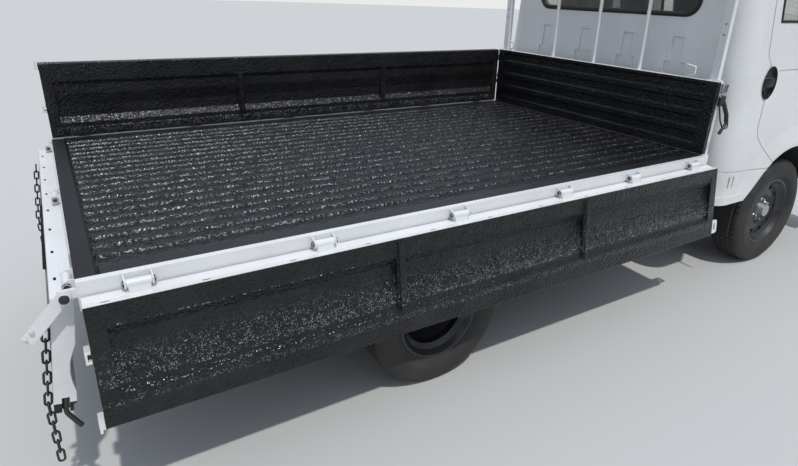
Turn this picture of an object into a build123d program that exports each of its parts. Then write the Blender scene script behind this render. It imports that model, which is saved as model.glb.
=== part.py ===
"""Dropside light truck: single cab over the front axle, ribbed load bed with three drop panels.

Millimetres. +X is forward, +Y is the truck's left side, +Z is up, Z = 0 is the ground.
X = 0 lies halfway between the front bumper and the rearmost point of the hanging latch lever.
The right side panel and the tailgate hang open, the left side panel stands closed.
"""
from build123d import *
from math import cos, hypot, radians, sin, tan
import os

os.makedirs("parts", exist_ok=True)

# Load bed
rail_len = 2800.0          # length of the bed rails, rear end to front end
rail_top = 783.0           # top of the bed rails above the ground
rail_w = 24.0
rail_h = 85.0
rear_overhang = 1206.0     # rear axle from the rear end of the rails
hinge_y = 862.0            # side hinge axes from the centreline
hinge_out = 20.0           # hinge axes outside the rails' faces
hinge_drop = 22.5          # hinge axes below the top of the rails
panel_t = 56.0             # thickness of a drop panel at its foot
panel_h = 354.0            # height of a drop panel
panel_gap = 5.0            # closed panel above the rail
panel_past = 16.0          # closed panel's outer face outside its hinge axis
panel_play = 6.0           # closed tailgate from the side panels, at each end
open_angle = 172.0         # drop panels turn this far from upright to hanging
floor_pitch = 75.0         # one corrugation of the floor
floor_depth = 12.0
floor_sheet = 4.0
floor_border = 62.0        # flat strip of the floor along its sides, at least
rear_border = 52.0         # flat strip of the floor over the rear rail
border_t = 6.0
cross_h = 45.0             # cross bearers under the floor
cross_w = 50.0
cross_count = 8
sill_h = 60.0              # lengthwise bearers that stand on the frame
sill_w = 50.0
barrel_r = 12.0            # hinge barrels
barrel_len = 65.0
hinge_bolt_r = 5.0
bolt_head_r = 9.5
bolt_head_t = 5.0
ear_t = 5.0                # hinge ears on the rail
run_gap = 0.3              # running gap beside pivots and seats
bolt_clear = 0.05          # radial clearance of a bolt in its barrel
side_hinge_share = (0.0525, 0.2465, 0.4385, 0.632, 0.789, 0.948)   # of the rails' length
tail_hinge_at = (-770.0, -27.0, 770.0)

# Headboard and guard frame
head_back = 8.0            # headboard's face behind the front end of the rails
head_t = 46.0
head_h = 363.0
head_half = 811.0
guard_h = 660.0            # guard frame above the headboard
guard_half = 772.0
guard_tube = 40.0
guard_t = 28.0
guard_bar_r = 10.0
guard_bar_y = (-330.0, -5.0, 325.0)
guard_hole_r = 6.0         # bolt holes through the guard posts
guard_hole_z = (215.0, 265.0)

# Wheels
front_tyre_r = 327.0
front_tyre_w = 186.0
front_rim_r = 203.0        # tyre's bore
front_wheel_y = 738.0      # middle of the front tyre
rear_tyre_r = 298.0
rear_tyre_w = 152.0
rear_rim_r = 182.0
rear_wheel_y = 744.0       # middle of the outer rear tyre
twin_pitch = 182.0         # outer to inner rear tyre
brake_r = 128.0
hub_bore = 48.0
kingpin_low = (664.0, 205.0)    # y, z of the lower ball joint
kingpin_high = (640.0, 440.0)

# Chassis frame
frame_half = 350.0         # middle of a frame rail from the centreline
frame_w = 60.0
frame_h = 110.0
frame_wall = 5.0

# Cab, door_rear, door_front and arch_foot from its rear wall
cab_gap = 105.0            # rear wall ahead of the bed rails
axle_in_cab = 731.0        # front axle ahead of the rear wall
nose_reach = 1830.0        # nose ahead of the rear wall
bumper_out = 45.0          # bumper ahead of the nose
cab_half = 868.0
cab_wall = 46.0
cab_skin = 22.0            # outer half of the wall, which overlaps at the doors
cab_low = 492.0
roof_z = 1968.0
lean_z = 1180.0            # the cab's sides lean in above this height
side_lean = 0.1086         # inward for each millimetre up
arch_r = 424.0
arch_back = 20.0           # middle of the arch behind the front axle
arch_foot = 274.0          # the arch's straight rear edge meets the sill here
flare_out = 12.0           # flare round the arch, proud of the skin
flare_w = 140.0
glass_in = 8.0             # window glass below the skin
glass_t = 5.0
door_rear = 190.0
door_front = 1330.0
door_gap = 6.0
belt_z = 1425.0
door_top_z = 1880.0
door_foot_z = 520.0
hinge_gap = 12.0           # shut line at the hinge edge
hinge_depth = 8.0          # door hinge axes below the skin
door_hinge_z = (760.0, 1090.0)
seal_step = 18.0           # door's inner half is smaller by this, except at the hinge edge
bumper_z = 350.0
bumper_h = 240.0
lever_reach = 142.0        # rearmost point, behind the rails

bed_rear = -(rail_len + cab_gap + nose_reach + bumper_out - lever_reach) / 2
bed_front = bed_rear + rail_len
cab_x = bed_front + cab_gap
nose_x = cab_x + nose_reach
bumper_x = nose_x + bumper_out
rear_axle_x = bed_rear + rear_overhang
front_axle_x = cab_x + axle_in_cab
arch_x = front_axle_x - arch_back
hinge_z = rail_top - hinge_drop
rail_in = hinge_y - hinge_out - rail_w
side_hinge_at = [share * rail_len for share in side_hinge_share]
tail_axis_x = bed_rear - hinge_out
floor_low = rail_top - floor_depth - floor_sheet
frame_top = floor_low - cross_h - sill_h
frame_low = frame_top - frame_h
past = 20.0                # how far a cutter runs past the piece that it cuts
parts = {}


def brick(x, y, z):
    """Box between two limits on each axis."""
    size = (x[1] - x[0], y[1] - y[0], z[1] - z[0])
    middle = ((x[0] + x[1]) / 2, (y[0] + y[1]) / 2, (z[0] + z[1]) / 2)
    return Pos(*middle) * Box(*size)


def about(middle, width):
    """Limits of a width about its middle."""
    return (middle - width / 2, middle + width / 2)


def on_side_of(side, a, b):
    """Limits between two distances from the centreline, on one side of it."""
    return tuple(sorted((side * a, side * b)))


def rod_x(x0, x1, y, z, r):
    return Pos((x0 + x1) / 2, y, z) * Rot(0, 90, 0) * Cylinder(r, x1 - x0)


def rod_y(y0, y1, x, z, r):
    return Pos(x, (y0 + y1) / 2, z) * Rot(90, 0, 0) * Cylinder(r, y1 - y0)


def rod_z(z0, z1, x, y, r):
    return Pos(x, y, (z0 + z1) / 2) * Cylinder(r, z1 - z0)


def strut(a, b, r):
    """Round bar between two points."""
    start, end = Vector(*a), Vector(*b)
    line = end - start
    return Plane(origin=start, z_dir=line) * extrude(Circle(r), amount=line.length)


def prism(points, axis, low, high):
    """Polygon drawn square to an axis and extruded between two stations on it."""
    if axis == "x":
        face = make_face(Polyline(*[(low, y, z) for y, z in points], close=True))
        return extrude(face, amount=high - low, dir=(1, 0, 0))
    if axis == "y":
        face = make_face(Polyline(*[(x, low, z) for x, z in points], close=True))
        return extrude(face, amount=high - low, dir=(0, 1, 0))
    face = make_face(Polyline(*[(x, y, low) for x, y in points], close=True))
    return extrude(face, amount=high - low, dir=(0, 0, 1))


def bent_bar(points, r, bend):
    """Round bar along a route with one bend radius."""
    route = FilletPolyline(*points, radius=bend)
    start = Vector(*points[0])
    face = Plane(origin=start, z_dir=Vector(*points[1]) - start) * Circle(r)
    return sweep(face, path=route)


def flip(shape):
    """The same piece on the other side of the truck."""
    return mirror(shape, about=Plane.XZ)


def together(*shapes):
    """Separate solids that share one node."""
    return Compound(children=[solid for shape in shapes for solid in shape.solids()])


def joined(shapes):
    """One solid from a list of pieces that touch."""
    whole = shapes[0]
    for shape in shapes[1:]:
        whole = whole + shape
    return whole


def turned(profile, x, y, z, outward=1):
    """Ring turned about a cross axle, its profile as (radius, distance outward) pairs."""
    ring = revolve(make_face(Polyline(*profile, close=True)), Axis.Y)
    if outward < 0:
        ring = mirror(ring, about=Plane.XZ)
    return Pos(x, y, z) * ring


# Drop panels, closed: out from the hinge axis, up from the hinge axis
face_in = panel_past - panel_t
panel_foot = hinge_drop + panel_gap
post_w = 34.0              # posts between the pressed bays
end_w = 46.0
bay_depth = 20.0
lip_in = -14.0             # the foot's outer part hangs lower, outside the rail
lip_drop = 10.0
crown = 4.0                # cut corner along the top edge
drain_size = (20.0, 7.0, 10.0)
drain_out = -24.0
apron_half = 10.0
post_rib = (26.0, 18.0, 8.0)    # raised rib of a post: width at its foot, width on top, height
post_rib_from = 40.0
side_drain_first = 53.0
side_drain_pitch = 258.0
tail_drain_pitch = 197.0

# outside of the panel: share of its height, inward from the outer face
swage = ((0.40, 0), (0.49, 9), (0.56, 14), (0.66, 14), (0.74, 9), (0.83, 0), (0.93, 0), (0.94, 8), (1.0, 8))
# pressed bay of the inner face: share of the height, depth
bay = ((0.12, -1), (0.12, 0), (0.125, 1.5), (0.175, 1.5), (0.185, 0), (0.27, bay_depth), (0.42, bay_depth),
       (0.58, 8), (0.71, 8), (0.76, 0), (0.76, -1))


def panel_section(height):
    """Cross section as (out, up) from the hinge axis: flat inside, swaged outside."""
    top = panel_foot + height
    foot = [(face_in, panel_foot), (lip_in, panel_foot), (panel_past, panel_foot - lip_drop)]
    outer = [(panel_past - inward, panel_foot + share * height) for share, inward in swage]
    return foot + outer + [(face_in + crown, top), (face_in, top - crown)]


def panel_pocket(height):
    return [(face_in + depth, panel_foot + share * height) for share, depth in bay]


def drop_panel(length, bays, hinges, drains):
    """Panel standing closed along +X from 0, its hinge axis on the X axis, outside towards +Y."""
    shape = prism(panel_section(panel_h), "x", 0, length)
    bay_len = (length - 2 * end_w - (bays - 1) * post_w) / bays
    for i in range(bays):
        start = end_w + i * (bay_len + post_w)
        shape -= prism(panel_pocket(panel_h), "x", start, start + bay_len)
    wide, narrow, proud = post_rib
    for i in range(1, bays):
        middle = end_w + i * (bay_len + post_w) - post_w / 2
        rib = [(middle - wide / 2, face_in + 1), (middle - wide / 2, face_in), (middle - narrow / 2, face_in - proud),
               (middle + narrow / 2, face_in - proud), (middle + wide / 2, face_in), (middle + wide / 2, face_in + 1)]
        shape += prism(rib, "z", post_rib_from, panel_foot + bay[-1][0] * panel_h)
    long, wide, deep = drain_size
    for at in drains:
        shape -= brick(about(at, long), about(drain_out, wide), (panel_foot - 1, panel_foot + deep))
    for at in hinges:
        low, high = about(at, barrel_len)
        shape += rod_x(low, high, 0, 0, barrel_r)
        shape += brick((low + 4, high - 4), (-apron_half, apron_half), (barrel_r / 2, panel_foot + 2))
        shape -= rod_x(low - 1, high + 1, 0, 0, hinge_bolt_r + bolt_clear)
    return shape


def hinge_ears(at):
    """Two ears and a bolt for one barrel; the hinge axis is the X axis and the rail's face is behind it."""
    end = barrel_len / 2 + run_gap
    outline = [(-hinge_out, 19), (-8, 18), (barrel_r, 8), (barrel_r, -9), (6, -12.5), (-hinge_out, -13)]
    bolt_end = end + ear_t + bolt_head_t
    shape = rod_x(at - bolt_end, at + bolt_end, 0, 0, hinge_bolt_r)
    for side in (-1, 1):
        inner = at + side * end
        outer = inner + side * ear_t
        shape += prism(outline, "x", *sorted((inner, outer)))
        head = extrude(RegularPolygon(bolt_head_r, 6), amount=bolt_head_t)
        shape += Pos(outer, 0, 0) * Rot(0, side * 90, 0) * head
    return shape


def hang(shape, angle):
    """Turn a closed panel outward about its hinge axis, the X axis."""
    return Rot(-angle, 0, 0) * shape


panel_end = 5.0            # side panel from the ends of the rails
side_len = rail_len - 2 * panel_end
bracket_y = (face_in + 4, panel_past - 4)
bracket_out = 16.0
staple_z = (150.0, 186.0)
fork_z = (352.0, 392.0)
catch_y = (-28.0, -22.0)   # slotted plate past the front end
catch_z = (306.0, 376.0)
catch_len = 62.0
catch_slot = (10.0, 34.0)


def end_brackets():
    """Staple and fork at the rear end and slotted catch plate at the front end of a closed side panel."""
    y0, y1 = bracket_y
    low, high = staple_z
    staple = brick((-bracket_out, 2), (y0, y1), (low, high))
    staple -= brick((-bracket_out + 6, 3), (y0 - 1, y1 + 1), (low + 8, high - 8))
    low, high = fork_z
    fork = brick((-bracket_out, 2), (y0, y1), (low, high))
    fork -= brick((-bracket_out - 1, 3), (y0 + 9, y1 - 9), (low + 20, high + 1))
    fork -= brick((-bracket_out + 8, 3), (y0 - 1, y1 + 1), (panel_foot + panel_h, high + 1))
    catch = brick((side_len - 2, side_len + catch_len), catch_y, catch_z)
    catch = fillet(catch.edges().filter_by(Axis.Y).group_by(Axis.X)[-1], 14)
    wide, tall = catch_slot
    catch -= brick(about(side_len + catch_len - 24, wide), (catch_y[0] - 1, catch_y[1] + 1),
                   about((catch_z[0] + catch_z[1]) / 2, tall))
    return staple + fork + catch


side_drains = []
reach = side_drain_first
while reach < side_len - end_w:
    side_drains.append(reach)
    reach += side_drain_pitch
side_panel = drop_panel(side_len, 3, [at - panel_end for at in side_hinge_at], side_drains) + end_brackets()
place_side = Pos(bed_rear + panel_end, hinge_y, hinge_z)
parts["side_panel_left"] = place_side * side_panel
parts["side_panel_right"] = flip(place_side * hang(side_panel, open_angle))

tail_half = hinge_y + face_in - panel_play
rod_r = 7.0                # latch rods in the ends of the tailgate
groove_w = 2 * rod_r + 5
groove_deep = 2 * rod_r + 3
groove_from = 0.87         # share of the panel's height where the slot starts
rod_past = 62.0            # latch rod beyond the panel's edge
rod_hook = 38.0
rod_y_in = face_in + 29.0
tail_drains = [tail_half + (k + 0.5) * tail_drain_pitch for k in (-4, -3, -2, -1, 0, 1, 2, 3)]
tail_panel = drop_panel(2 * tail_half, 2, [tail_half + at for at in tail_hinge_at], tail_drains)
groove_z = (panel_foot + groove_from * panel_h, panel_foot + panel_h + 1)
for end in ((-1, groove_deep), (2 * tail_half - groove_deep, 2 * tail_half + 1)):
    tail_panel -= brick(end, about(rod_y_in, groove_w), groove_z)
turn_tail = Pos(tail_axis_x, -tail_half, hinge_z) * Rot(0, 0, 90)
parts["tailgate"] = turn_tail * hang(tail_panel, open_angle)


def latch_rod(at):
    """Round bar from the bottom of the slot past the panel's edge, bent outward."""
    edge = panel_foot + panel_h
    route = [(at, rod_y_in, groove_z[0]), (at, rod_y_in, edge + 8), (at, rod_y_in + rod_hook, edge + rod_past)]
    return bent_bar(route, rod_r, 40)


rods = together(latch_rod(rod_r + 2), latch_rod(2 * tail_half - rod_r - 2))
parts["latch_rods"] = turn_tail * hang(rods, open_angle)

# Bed
head_x = bed_front - head_back
rail_z = (rail_top - rail_h, rail_top)
bed_rails = joined([
    brick((bed_rear, bed_front), (rail_in, rail_in + rail_w), rail_z),
    brick((bed_rear, bed_front), (-rail_in - rail_w, -rail_in), rail_z),
    brick((bed_rear, bed_rear + rail_w), (-rail_in, rail_in), (rail_z[0], rail_top - border_t)),
    brick((head_x, head_x + head_t), (-rail_in, rail_in), rail_z)])
for at in side_hinge_at:
    ears = Pos(bed_rear, hinge_y, hinge_z) * hinge_ears(at)
    bed_rails += ears
    bed_rails += flip(ears)
for at in tail_hinge_at:
    bed_rails += Pos(tail_axis_x, at, hinge_z) * Rot(0, 0, 90) * hinge_ears(0)

crest = floor_pitch * 0.28
slope = 8.0
troughs = int(2 * (rail_in - floor_border) / floor_pitch)
deck_z = rail_top - 2
trough_z = deck_z - floor_depth + 2
ridge_y = [(i - troughs / 2) * floor_pitch for i in range(troughs + 1)]
groove_x = 8.0             # gap between the rear strip and the ribs
top_line = []
for y in ridge_y[:-1]:
    top_line += [(y + crest / 2, deck_z), (y + crest / 2 + slope, trough_z),
                 (y + floor_pitch - crest / 2 - slope, trough_z), (y + floor_pitch - crest / 2, deck_z)]
section = [(-rail_in, floor_low), (-rail_in, deck_z)] + top_line + [(rail_in, deck_z), (rail_in, floor_low)]
ribs_x = bed_rear + rear_border + groove_x
parts["bed_floor"] = joined([
    prism(section, "x", ribs_x, head_x),
    brick((bed_rear + rail_w, ribs_x), (-rail_in, rail_in), (floor_low, trough_z)),
    brick((bed_rear, bed_rear + rear_border), (-rail_in, rail_in), (rail_top - border_t, rail_top)),
    brick((bed_rear + rail_w, bed_rear + rear_border), (-rail_in, rail_in), (floor_low, rail_top))])

bearer_from, bearer_to = bed_rear + 90, bed_front - 90
bearers = []
for i in range(cross_count):
    x = bearer_from + i * (bearer_to - bearer_from) / (cross_count - 1)
    bearers.append(brick(about(x, cross_w), (-rail_in, rail_in), (floor_low - cross_h, floor_low)))
for side in (-1, 1):
    bearers.append(brick((bed_rear + 40, bed_front - 30), about(side * frame_half, sill_w),
                         (frame_top, floor_low - cross_h)))
parts["bed_bearers"] = joined(bearers)

# Headboard and guard
head_rib_first = 45.0
head_rib_pitch = 82.0
head_rib_h = 56.0
head_rib_depth = 9.0
head_end = 60.0
head = brick((head_x, head_x + head_t), (-head_half, head_half), (rail_top, rail_top + head_h))
for k in range(4):
    z = rail_top + head_rib_first + k * head_rib_pitch
    deep = head_x + head_rib_depth
    head -= prism([(head_x - 1, z), (deep, z + 8), (deep, z + head_rib_h - 8), (head_x - 1, z + head_rib_h)],
                  "y", -head_half + head_end, head_half - head_end)
hook_y = (-650.0, 703.0)   # rope hooks on the top edge
hook_r = 5.0
hook_bend = 8.0
hook_route = ((8, -3), (8, 9), (-24, 20), (-24, 56), (26, 62))
head_top = rail_top + head_h
guard_x = head_x + head_t - guard_t / 2
for y in hook_y:
    head += bent_bar([(head_x + 8, y + a, head_top + b) for a, b in hook_route], hook_r, hook_bend)
parts["headboard"] = head

guard_rail = (head_top + guard_h - guard_tube, head_top + guard_h)
guard_deep = about(guard_x, guard_t)
guard = [brick(guard_deep, about(0, 2 * guard_half + guard_tube), guard_rail)]
for side in (-1, 1):
    post_y = side * guard_half
    guard.append(brick(guard_deep, about(post_y, guard_tube), (head_top, guard_rail[1])))
    guard.append(brick(guard_deep, about(post_y, guard_tube + 24), (head_top, head_top + 6)))
for y in guard_bar_y:
    guard.append(rod_z(head_top, guard_rail[0] + 5, guard_x, y, guard_bar_r))
guard = joined(guard)
for side in (-1, 1):
    for up in guard_hole_z:
        guard -= rod_x(guard_x - past, guard_x + past, side * guard_half, head_top + up, guard_hole_r)
parts["guard_frame"] = guard

# Rubber straps at the headboard's ends, which hold the closed side panels
strap_x = bed_front + 22.0
strap_y = head_half + 5.0
strap_top = head_top - 20.0
strap_outline = [(-7, 0), (7, 0), (9, -50), (9, -150), (4, -205), (-12, -228), (-18, -220), (-6, -196),
                 (-9, -150), (-9, -50)]
strap = prism([(strap_x + a, strap_top + b) for a, b in strap_outline], "y", strap_y, strap_y + 8)
strap += rod_y(head_half, strap_y + 12, strap_x, strap_top - 8, 5)
parts["panel_straps"] = together(strap, flip(strap))

# Chassis frame
frame_from = bed_rear + 40.0
frame_to = cab_x + 1655.0
member_w = 60.0
member_in = 15.0           # crossmembers are lower than the rails by this above and below
frame_z = (frame_low, frame_top)
member_x = (frame_from + 30, bed_rear + 430, rear_axle_x + 434, rear_axle_x + 1094, cab_x - 125,
            frame_to - 40)
frame = []
for side in (-1, 1):
    y = about(side * frame_half, frame_w)
    bar = brick((frame_from, frame_to), y, frame_z)
    inner = (y[0] + frame_wall, y[1] - frame_wall)
    bar -= brick((frame_from - 1, frame_to + 1), inner, (frame_low + frame_wall, frame_top - frame_wall))
    frame.append(bar)
for x in member_x:
    frame.append(brick(about(x, member_w), (-frame_half + frame_w / 2, frame_half - frame_w / 2),
                       (frame_low + member_in, frame_top - member_in)))


# Wheels

def tyre(radius, rim, width):
    """Tyre section as (radius, station) pairs."""
    half = width / 2
    return [(rim, -half * 0.80), (rim + 25, -half), (radius - 45, -half), (radius - 8, -half * 0.84),
            (radius, -half * 0.62), (radius, half * 0.62), (radius - 8, half * 0.84),
            (radius - 45, half), (rim + 25, half), (rim, half * 0.80)]


def wheel(bead, width, seat, face, bulge):
    """Pressed steel wheel: channel rim, disc welded in at its seat, mounting face near the hub."""
    half = width / 2 * 0.80
    base = bead - 22
    well = bead - 29
    sheet = 7
    outer = [(bead + 16, half), (bead, half - 12), (base, half - 34), (base, -half + 34), (bead, -half + 12),
             (bead + 16, -half)]
    inner = [(bead + 6, -half), (bead - 10, -half + 22), (well, -half + 38)]
    disc = [(well, seat - 9), (hub_bore + 48, face + bulge), (hub_bore + 28, face), (hub_bore, face),
            (hub_bore, face + sheet), (hub_bore + 26, face + sheet), (hub_bore + 46, face + bulge + sheet),
            (well, seat)]
    back = [(well, half - 38), (bead - 10, half - 22), (bead + 6, half)]
    return outer + inner + disc + back


bead_gap = 0.3
front_face = 20.0          # front wheel's mounting face outboard of the tyre's middle
front_spindle_r = 22.0
rear_spindle_r = 30.0
vent_count = 10
vent_at = 140.0
vent_r = 13.0
for name, side in (("left", 1), ("right", -1)):
    at = (front_axle_x, side * front_wheel_y, front_tyre_r)
    parts[f"tyre_front_{name}"] = turned(tyre(front_tyre_r, front_rim_r, front_tyre_w), *at, side)
    rim = turned(wheel(front_rim_r - 16 - bead_gap, front_tyre_w, 34, front_face, 16), *at, side)
    for k in range(vent_count):
        a = radians(360 / vent_count * k)
        vent = (front_axle_x + vent_at * cos(a), front_tyre_r + vent_at * sin(a))
        rim -= rod_y(at[1] - 70, at[1] + 70, *vent, vent_r)
    parts[f"rim_front_{name}"] = rim
    bore = front_spindle_r + bolt_clear
    hub = turned([(bore, -45), (hub_bore, -45), (hub_bore, -20), (brake_r, -20), (brake_r, 2),
                  (hub_bore + 26, 2), (hub_bore + 26, front_face), (hub_bore, front_face),
                  (hub_bore - 12, front_face + 46),
                  (0, front_face + 46), (0, front_face + 34), (bore, front_face + 34)], *at, side)
    parts[f"hub_front_{name}"] = hub

twin_face = -twin_pitch / 2


def rear_pair():
    """Twin wheels back to back on one hub with its brake drum, left side."""
    section = wheel(rear_rim_r - 16 - bead_gap, rear_tyre_w, -6, twin_face, 6)
    outer = turned(section, rear_axle_x, rear_wheel_y, rear_tyre_r)
    inner = turned(section, rear_axle_x, rear_wheel_y - twin_pitch, rear_tyre_r, -1)
    bore = rear_spindle_r + bolt_clear
    hub = turned([(bore, twin_face - 95), (hub_bore + 10, twin_face - 95), (hub_bore + 10, twin_face - 30),
                  (brake_r - 12, twin_face - 30), (brake_r - 12, twin_face - 95), (brake_r, twin_face - 95),
                  (brake_r, twin_face - 7), (hub_bore, twin_face - 7), (hub_bore, twin_face + 7),
                  (hub_bore - 8, twin_face + 60), (0, twin_face + 60), (0, twin_face + 48),
                  (bore, twin_face + 48)], rear_axle_x, rear_wheel_y, rear_tyre_r)
    return outer + inner + hub


pair = rear_pair()
tread = tyre(rear_tyre_r, rear_rim_r, rear_tyre_w)
twin = [turned(tread, rear_axle_x, rear_wheel_y - k * twin_pitch, rear_tyre_r) for k in range(2)]
parts["rims_rear_left"] = pair
parts["rims_rear_right"] = flip(pair)
parts["tyres_rear_left"] = together(*twin)
parts["tyres_rear_right"] = together(*[flip(t) for t in twin])

# Spare wheel under the bed, on its carrier rod and plate
spare_x = bed_rear + 430.0
spare_z = frame_low - 98.0
spare_face = -40.0
lay_flat = Pos(spare_x, 0, spare_z) * Rot(90, 0, 0)
parts["spare_tyre"] = lay_flat * turned(tread, 0, 0, 0)
spare_section = wheel(rear_rim_r - 16 - bead_gap, rear_tyre_w, -6, spare_face, 6)
parts["spare_rim"] = lay_flat * turned(spare_section, 0, 0, 0)
carrier_z = spare_z + spare_face + 7 + run_gap
frame.append(rod_z(carrier_z, frame_low + member_in + 1, spare_x, 0, 14))
frame.append(rod_z(carrier_z, carrier_z + 8, spare_x, 0, 62))
parts["chassis_frame"] = joined(frame)

# Running gear
low_pin = (front_axle_x,) + kingpin_low
high_pin = (front_axle_x,) + kingpin_high
pin_len = hypot(kingpin_high[0] - kingpin_low[0], kingpin_high[1] - kingpin_low[1])
joint_r = 25.0
joint_half = 24.0
arm_r = 14.0
beam_z = (290.0, 370.0)


def along_pin(distance):
    t = distance / pin_len
    return tuple(a + (b - a) * t for a, b in zip(low_pin, high_pin))


def front_arms():
    """Crossmember with its towers, and the upper and lower arms of both sides."""
    x = front_axle_x
    inner = frame_half - frame_w / 2
    pieces = [brick(about(x, 110), (-inner - 10, inner + 10), beam_z)]
    for side in (-1, 1):
        pieces.append(brick(about(x, 110), on_side_of(side, inner - 2, inner + 62), (beam_z[1], frame_low)))
        for fore in (-1, 1):
            pieces.append(strut((x + fore * 50, side * inner, beam_z[0] + 30),
                                (x, side * low_pin[1], low_pin[2]), arm_r))
            pieces.append(strut((x + fore * 45, side * (inner + 50), frame_low - 60),
                                (x, side * high_pin[1], high_pin[2]), arm_r - 3))
        for middle in (0, pin_len):
            a, b = along_pin(middle - joint_half), along_pin(middle + joint_half)
            pieces.append(strut((a[0], side * a[1], a[2]), (b[0], side * b[1], b[2]), joint_r))
    return joined(pieces)


parts["front_suspension"] = front_arms()
boss_y = kingpin_high[0] + 5.0
knuckle = strut(along_pin(joint_half + run_gap), along_pin(pin_len - joint_half - run_gap), 18)
knuckle += rod_y(boss_y - 5, front_wheel_y + front_face + 33.5, front_axle_x, front_tyre_r, front_spindle_r)
knuckle += rod_y(boss_y, front_wheel_y - 46, front_axle_x, front_tyre_r, 42)
parts["knuckle_left"] = knuckle
parts["knuckle_right"] = flip(knuckle)

axle_end = rear_wheel_y - twin_pitch - 17.0
drum_back = rear_wheel_y + twin_face - 97.0
diff_r = 125.0
pinion_len = 190.0
axle = [rod_y(-axle_end, axle_end, rear_axle_x, rear_tyre_r, 42),
        rod_y(-70, 70, rear_axle_x, rear_tyre_r, diff_r),
        rod_x(rear_axle_x, rear_axle_x + pinion_len, 0, rear_tyre_r, 55)]
for side in (-1, 1):
    y = on_side_of(side, axle_end - 5, rear_wheel_y + twin_face + 47)
    axle.append(rod_y(*y, rear_axle_x, rear_tyre_r, rear_spindle_r))
    y = on_side_of(side, axle_end - 5, drum_back)
    axle.append(rod_y(*y, rear_axle_x, rear_tyre_r, brake_r))
parts["rear_axle"] = joined(axle)

spring_y = frame_half + 70.0
spring_w = 56.0
spring_half = 560.0
pad_z = rear_tyre_r + 42
spring_eye = frame_low - 80.0
shackle_w = 40.0


def leaf(half, low, thick, rise):
    """One leaf bowed upward at its ends, drawn in the XZ plane."""
    top = ThreePointArc((-half, 0, low + rise + thick), (0, 0, low + thick), (half, 0, low + rise + thick))
    base = ThreePointArc((-half, 0, low + rise), (0, 0, low), (half, 0, low + rise))
    ends = [Line(top @ 0, base @ 0), Line(top @ 1, base @ 1)]
    return extrude(make_face([top, base] + ends), amount=spring_w / 2, dir=(0, 1, 0), both=True)


half_w = (-spring_w / 2, spring_w / 2)
spring = [leaf(spring_half, pad_z, 16, spring_eye - pad_z),
          leaf(spring_half * 0.72, pad_z + 16, 14, (spring_eye - pad_z) * 0.52),
          brick((-60, 60), half_w, (pad_z + 10, pad_z + 60))]
for fore in (-1, 1):
    x = fore * spring_half
    spring.append(rod_y(*half_w, x, spring_eye + 10, 26))
    spring.append(brick(about(x, shackle_w), (-spring_y + frame_half - frame_w / 2, half_w[1]),
                        (frame_low - 30, frame_low)))
    spring.append(brick(about(x, shackle_w), half_w, (spring_eye + 10, frame_low)))
left_spring = Pos(rear_axle_x, spring_y, 0) * joined(spring)
parts["leaf_springs"] = together(left_spring, flip(left_spring))

engine_x = (front_axle_x - 430, front_axle_x + 280)
engine_half = 285.0
gearbox_x = front_axle_x - 800.0
gearbox_z = 520.0
engine = brick(engine_x, (-engine_half, engine_half), (beam_z[1] + 15, 890))
engine += rod_x(gearbox_x, engine_x[0], 0, gearbox_z, 120)
for side in (-1, 1):
    engine += brick((engine_x[0] + 270, engine_x[0] + 340),
                    on_side_of(side, engine_half - 5, frame_half - frame_w / 2), (frame_low + 20, frame_top - 20))
parts["engine_block"] = engine
shaft_from = (rear_axle_x + pinion_len + run_gap, 0, rear_tyre_r)
shaft_to = (gearbox_x - run_gap, 0, gearbox_z)
yoke = 45.0
parts["propshaft"] = joined([
    strut((shaft_from[0] + yoke - 5, 0, shaft_from[2]), (shaft_to[0] - yoke + 5, 0, shaft_to[2]), 36),
    rod_x(shaft_from[0], shaft_from[0] + yoke, 0, shaft_from[2], 28),
    rod_x(shaft_to[0] - yoke, shaft_to[0], 0, shaft_to[2], 28)])
side_in = frame_half + frame_w / 2
tank_x = (rear_axle_x + 624, rear_axle_x + 1274)
tank = brick(tank_x, (side_in, side_in + 390), (frame_low - 220, frame_low + 40))
parts["fuel_tank"] = fillet(tank.edges().filter_by(Axis.X), 40)
parts["battery_box"] = brick((rear_axle_x + 644, rear_axle_x + 974), (-side_in - 240, -side_in),
                             (frame_low - 170, frame_low + 50))
pipe_y = -230.0
pipe_z = frame_low - 80.0
silencer_x = (rear_axle_x + 1044, rear_axle_x + 1544)
parts["exhaust"] = joined([
    rod_x(*silencer_x, pipe_y, pipe_z, 78),
    strut((silencer_x[1] - 50, pipe_y, pipe_z), (engine_x[0] - 5, pipe_y, pipe_z + 50), 22),
    strut((silencer_x[0] + 50, pipe_y, pipe_z), (silencer_x[0] - 600, pipe_y - 20, pipe_z), 22),
    brick(about(silencer_x[0] + 250, 40), (-frame_half + 5, pipe_y), (pipe_z + 30, frame_low))])

# Cab: sections from the sill to the roof. The side windows are between the fourth and the seventh.
# height, rear wall forward of its lowest, front behind the nose, side tucked in, rear and front corner, bow
cab_sections = (
    (cab_low, 0, 2, 0, 120, 200, 55),
    (860.0, 0, 0, 0, 120, 200, 55),
    (1075.0, 0, 45, 0, 120, 190, 60),
    (lean_z, 0, 160, 0, 120, 170, 65),
    (1275.0, 0, 265, 0, 120, 150, 70),
    (1560.0, 0, 503, 0, 115, 110, 60),
    (door_top_z, 38, 770, 0, 100, 80, 45),
    (roof_z - 33, 62, 845, 20, 90, 75, 30),
    (roof_z, 140, 950, 95, 80, 70, 10),
)
roof_edges = 2             # sections that round the roof, which go down with an inset
ledge_out = 7.0
ledge_h = 44.0
screen_slant = 1.3         # a wall's thickness measured along X on the sloping front


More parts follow.
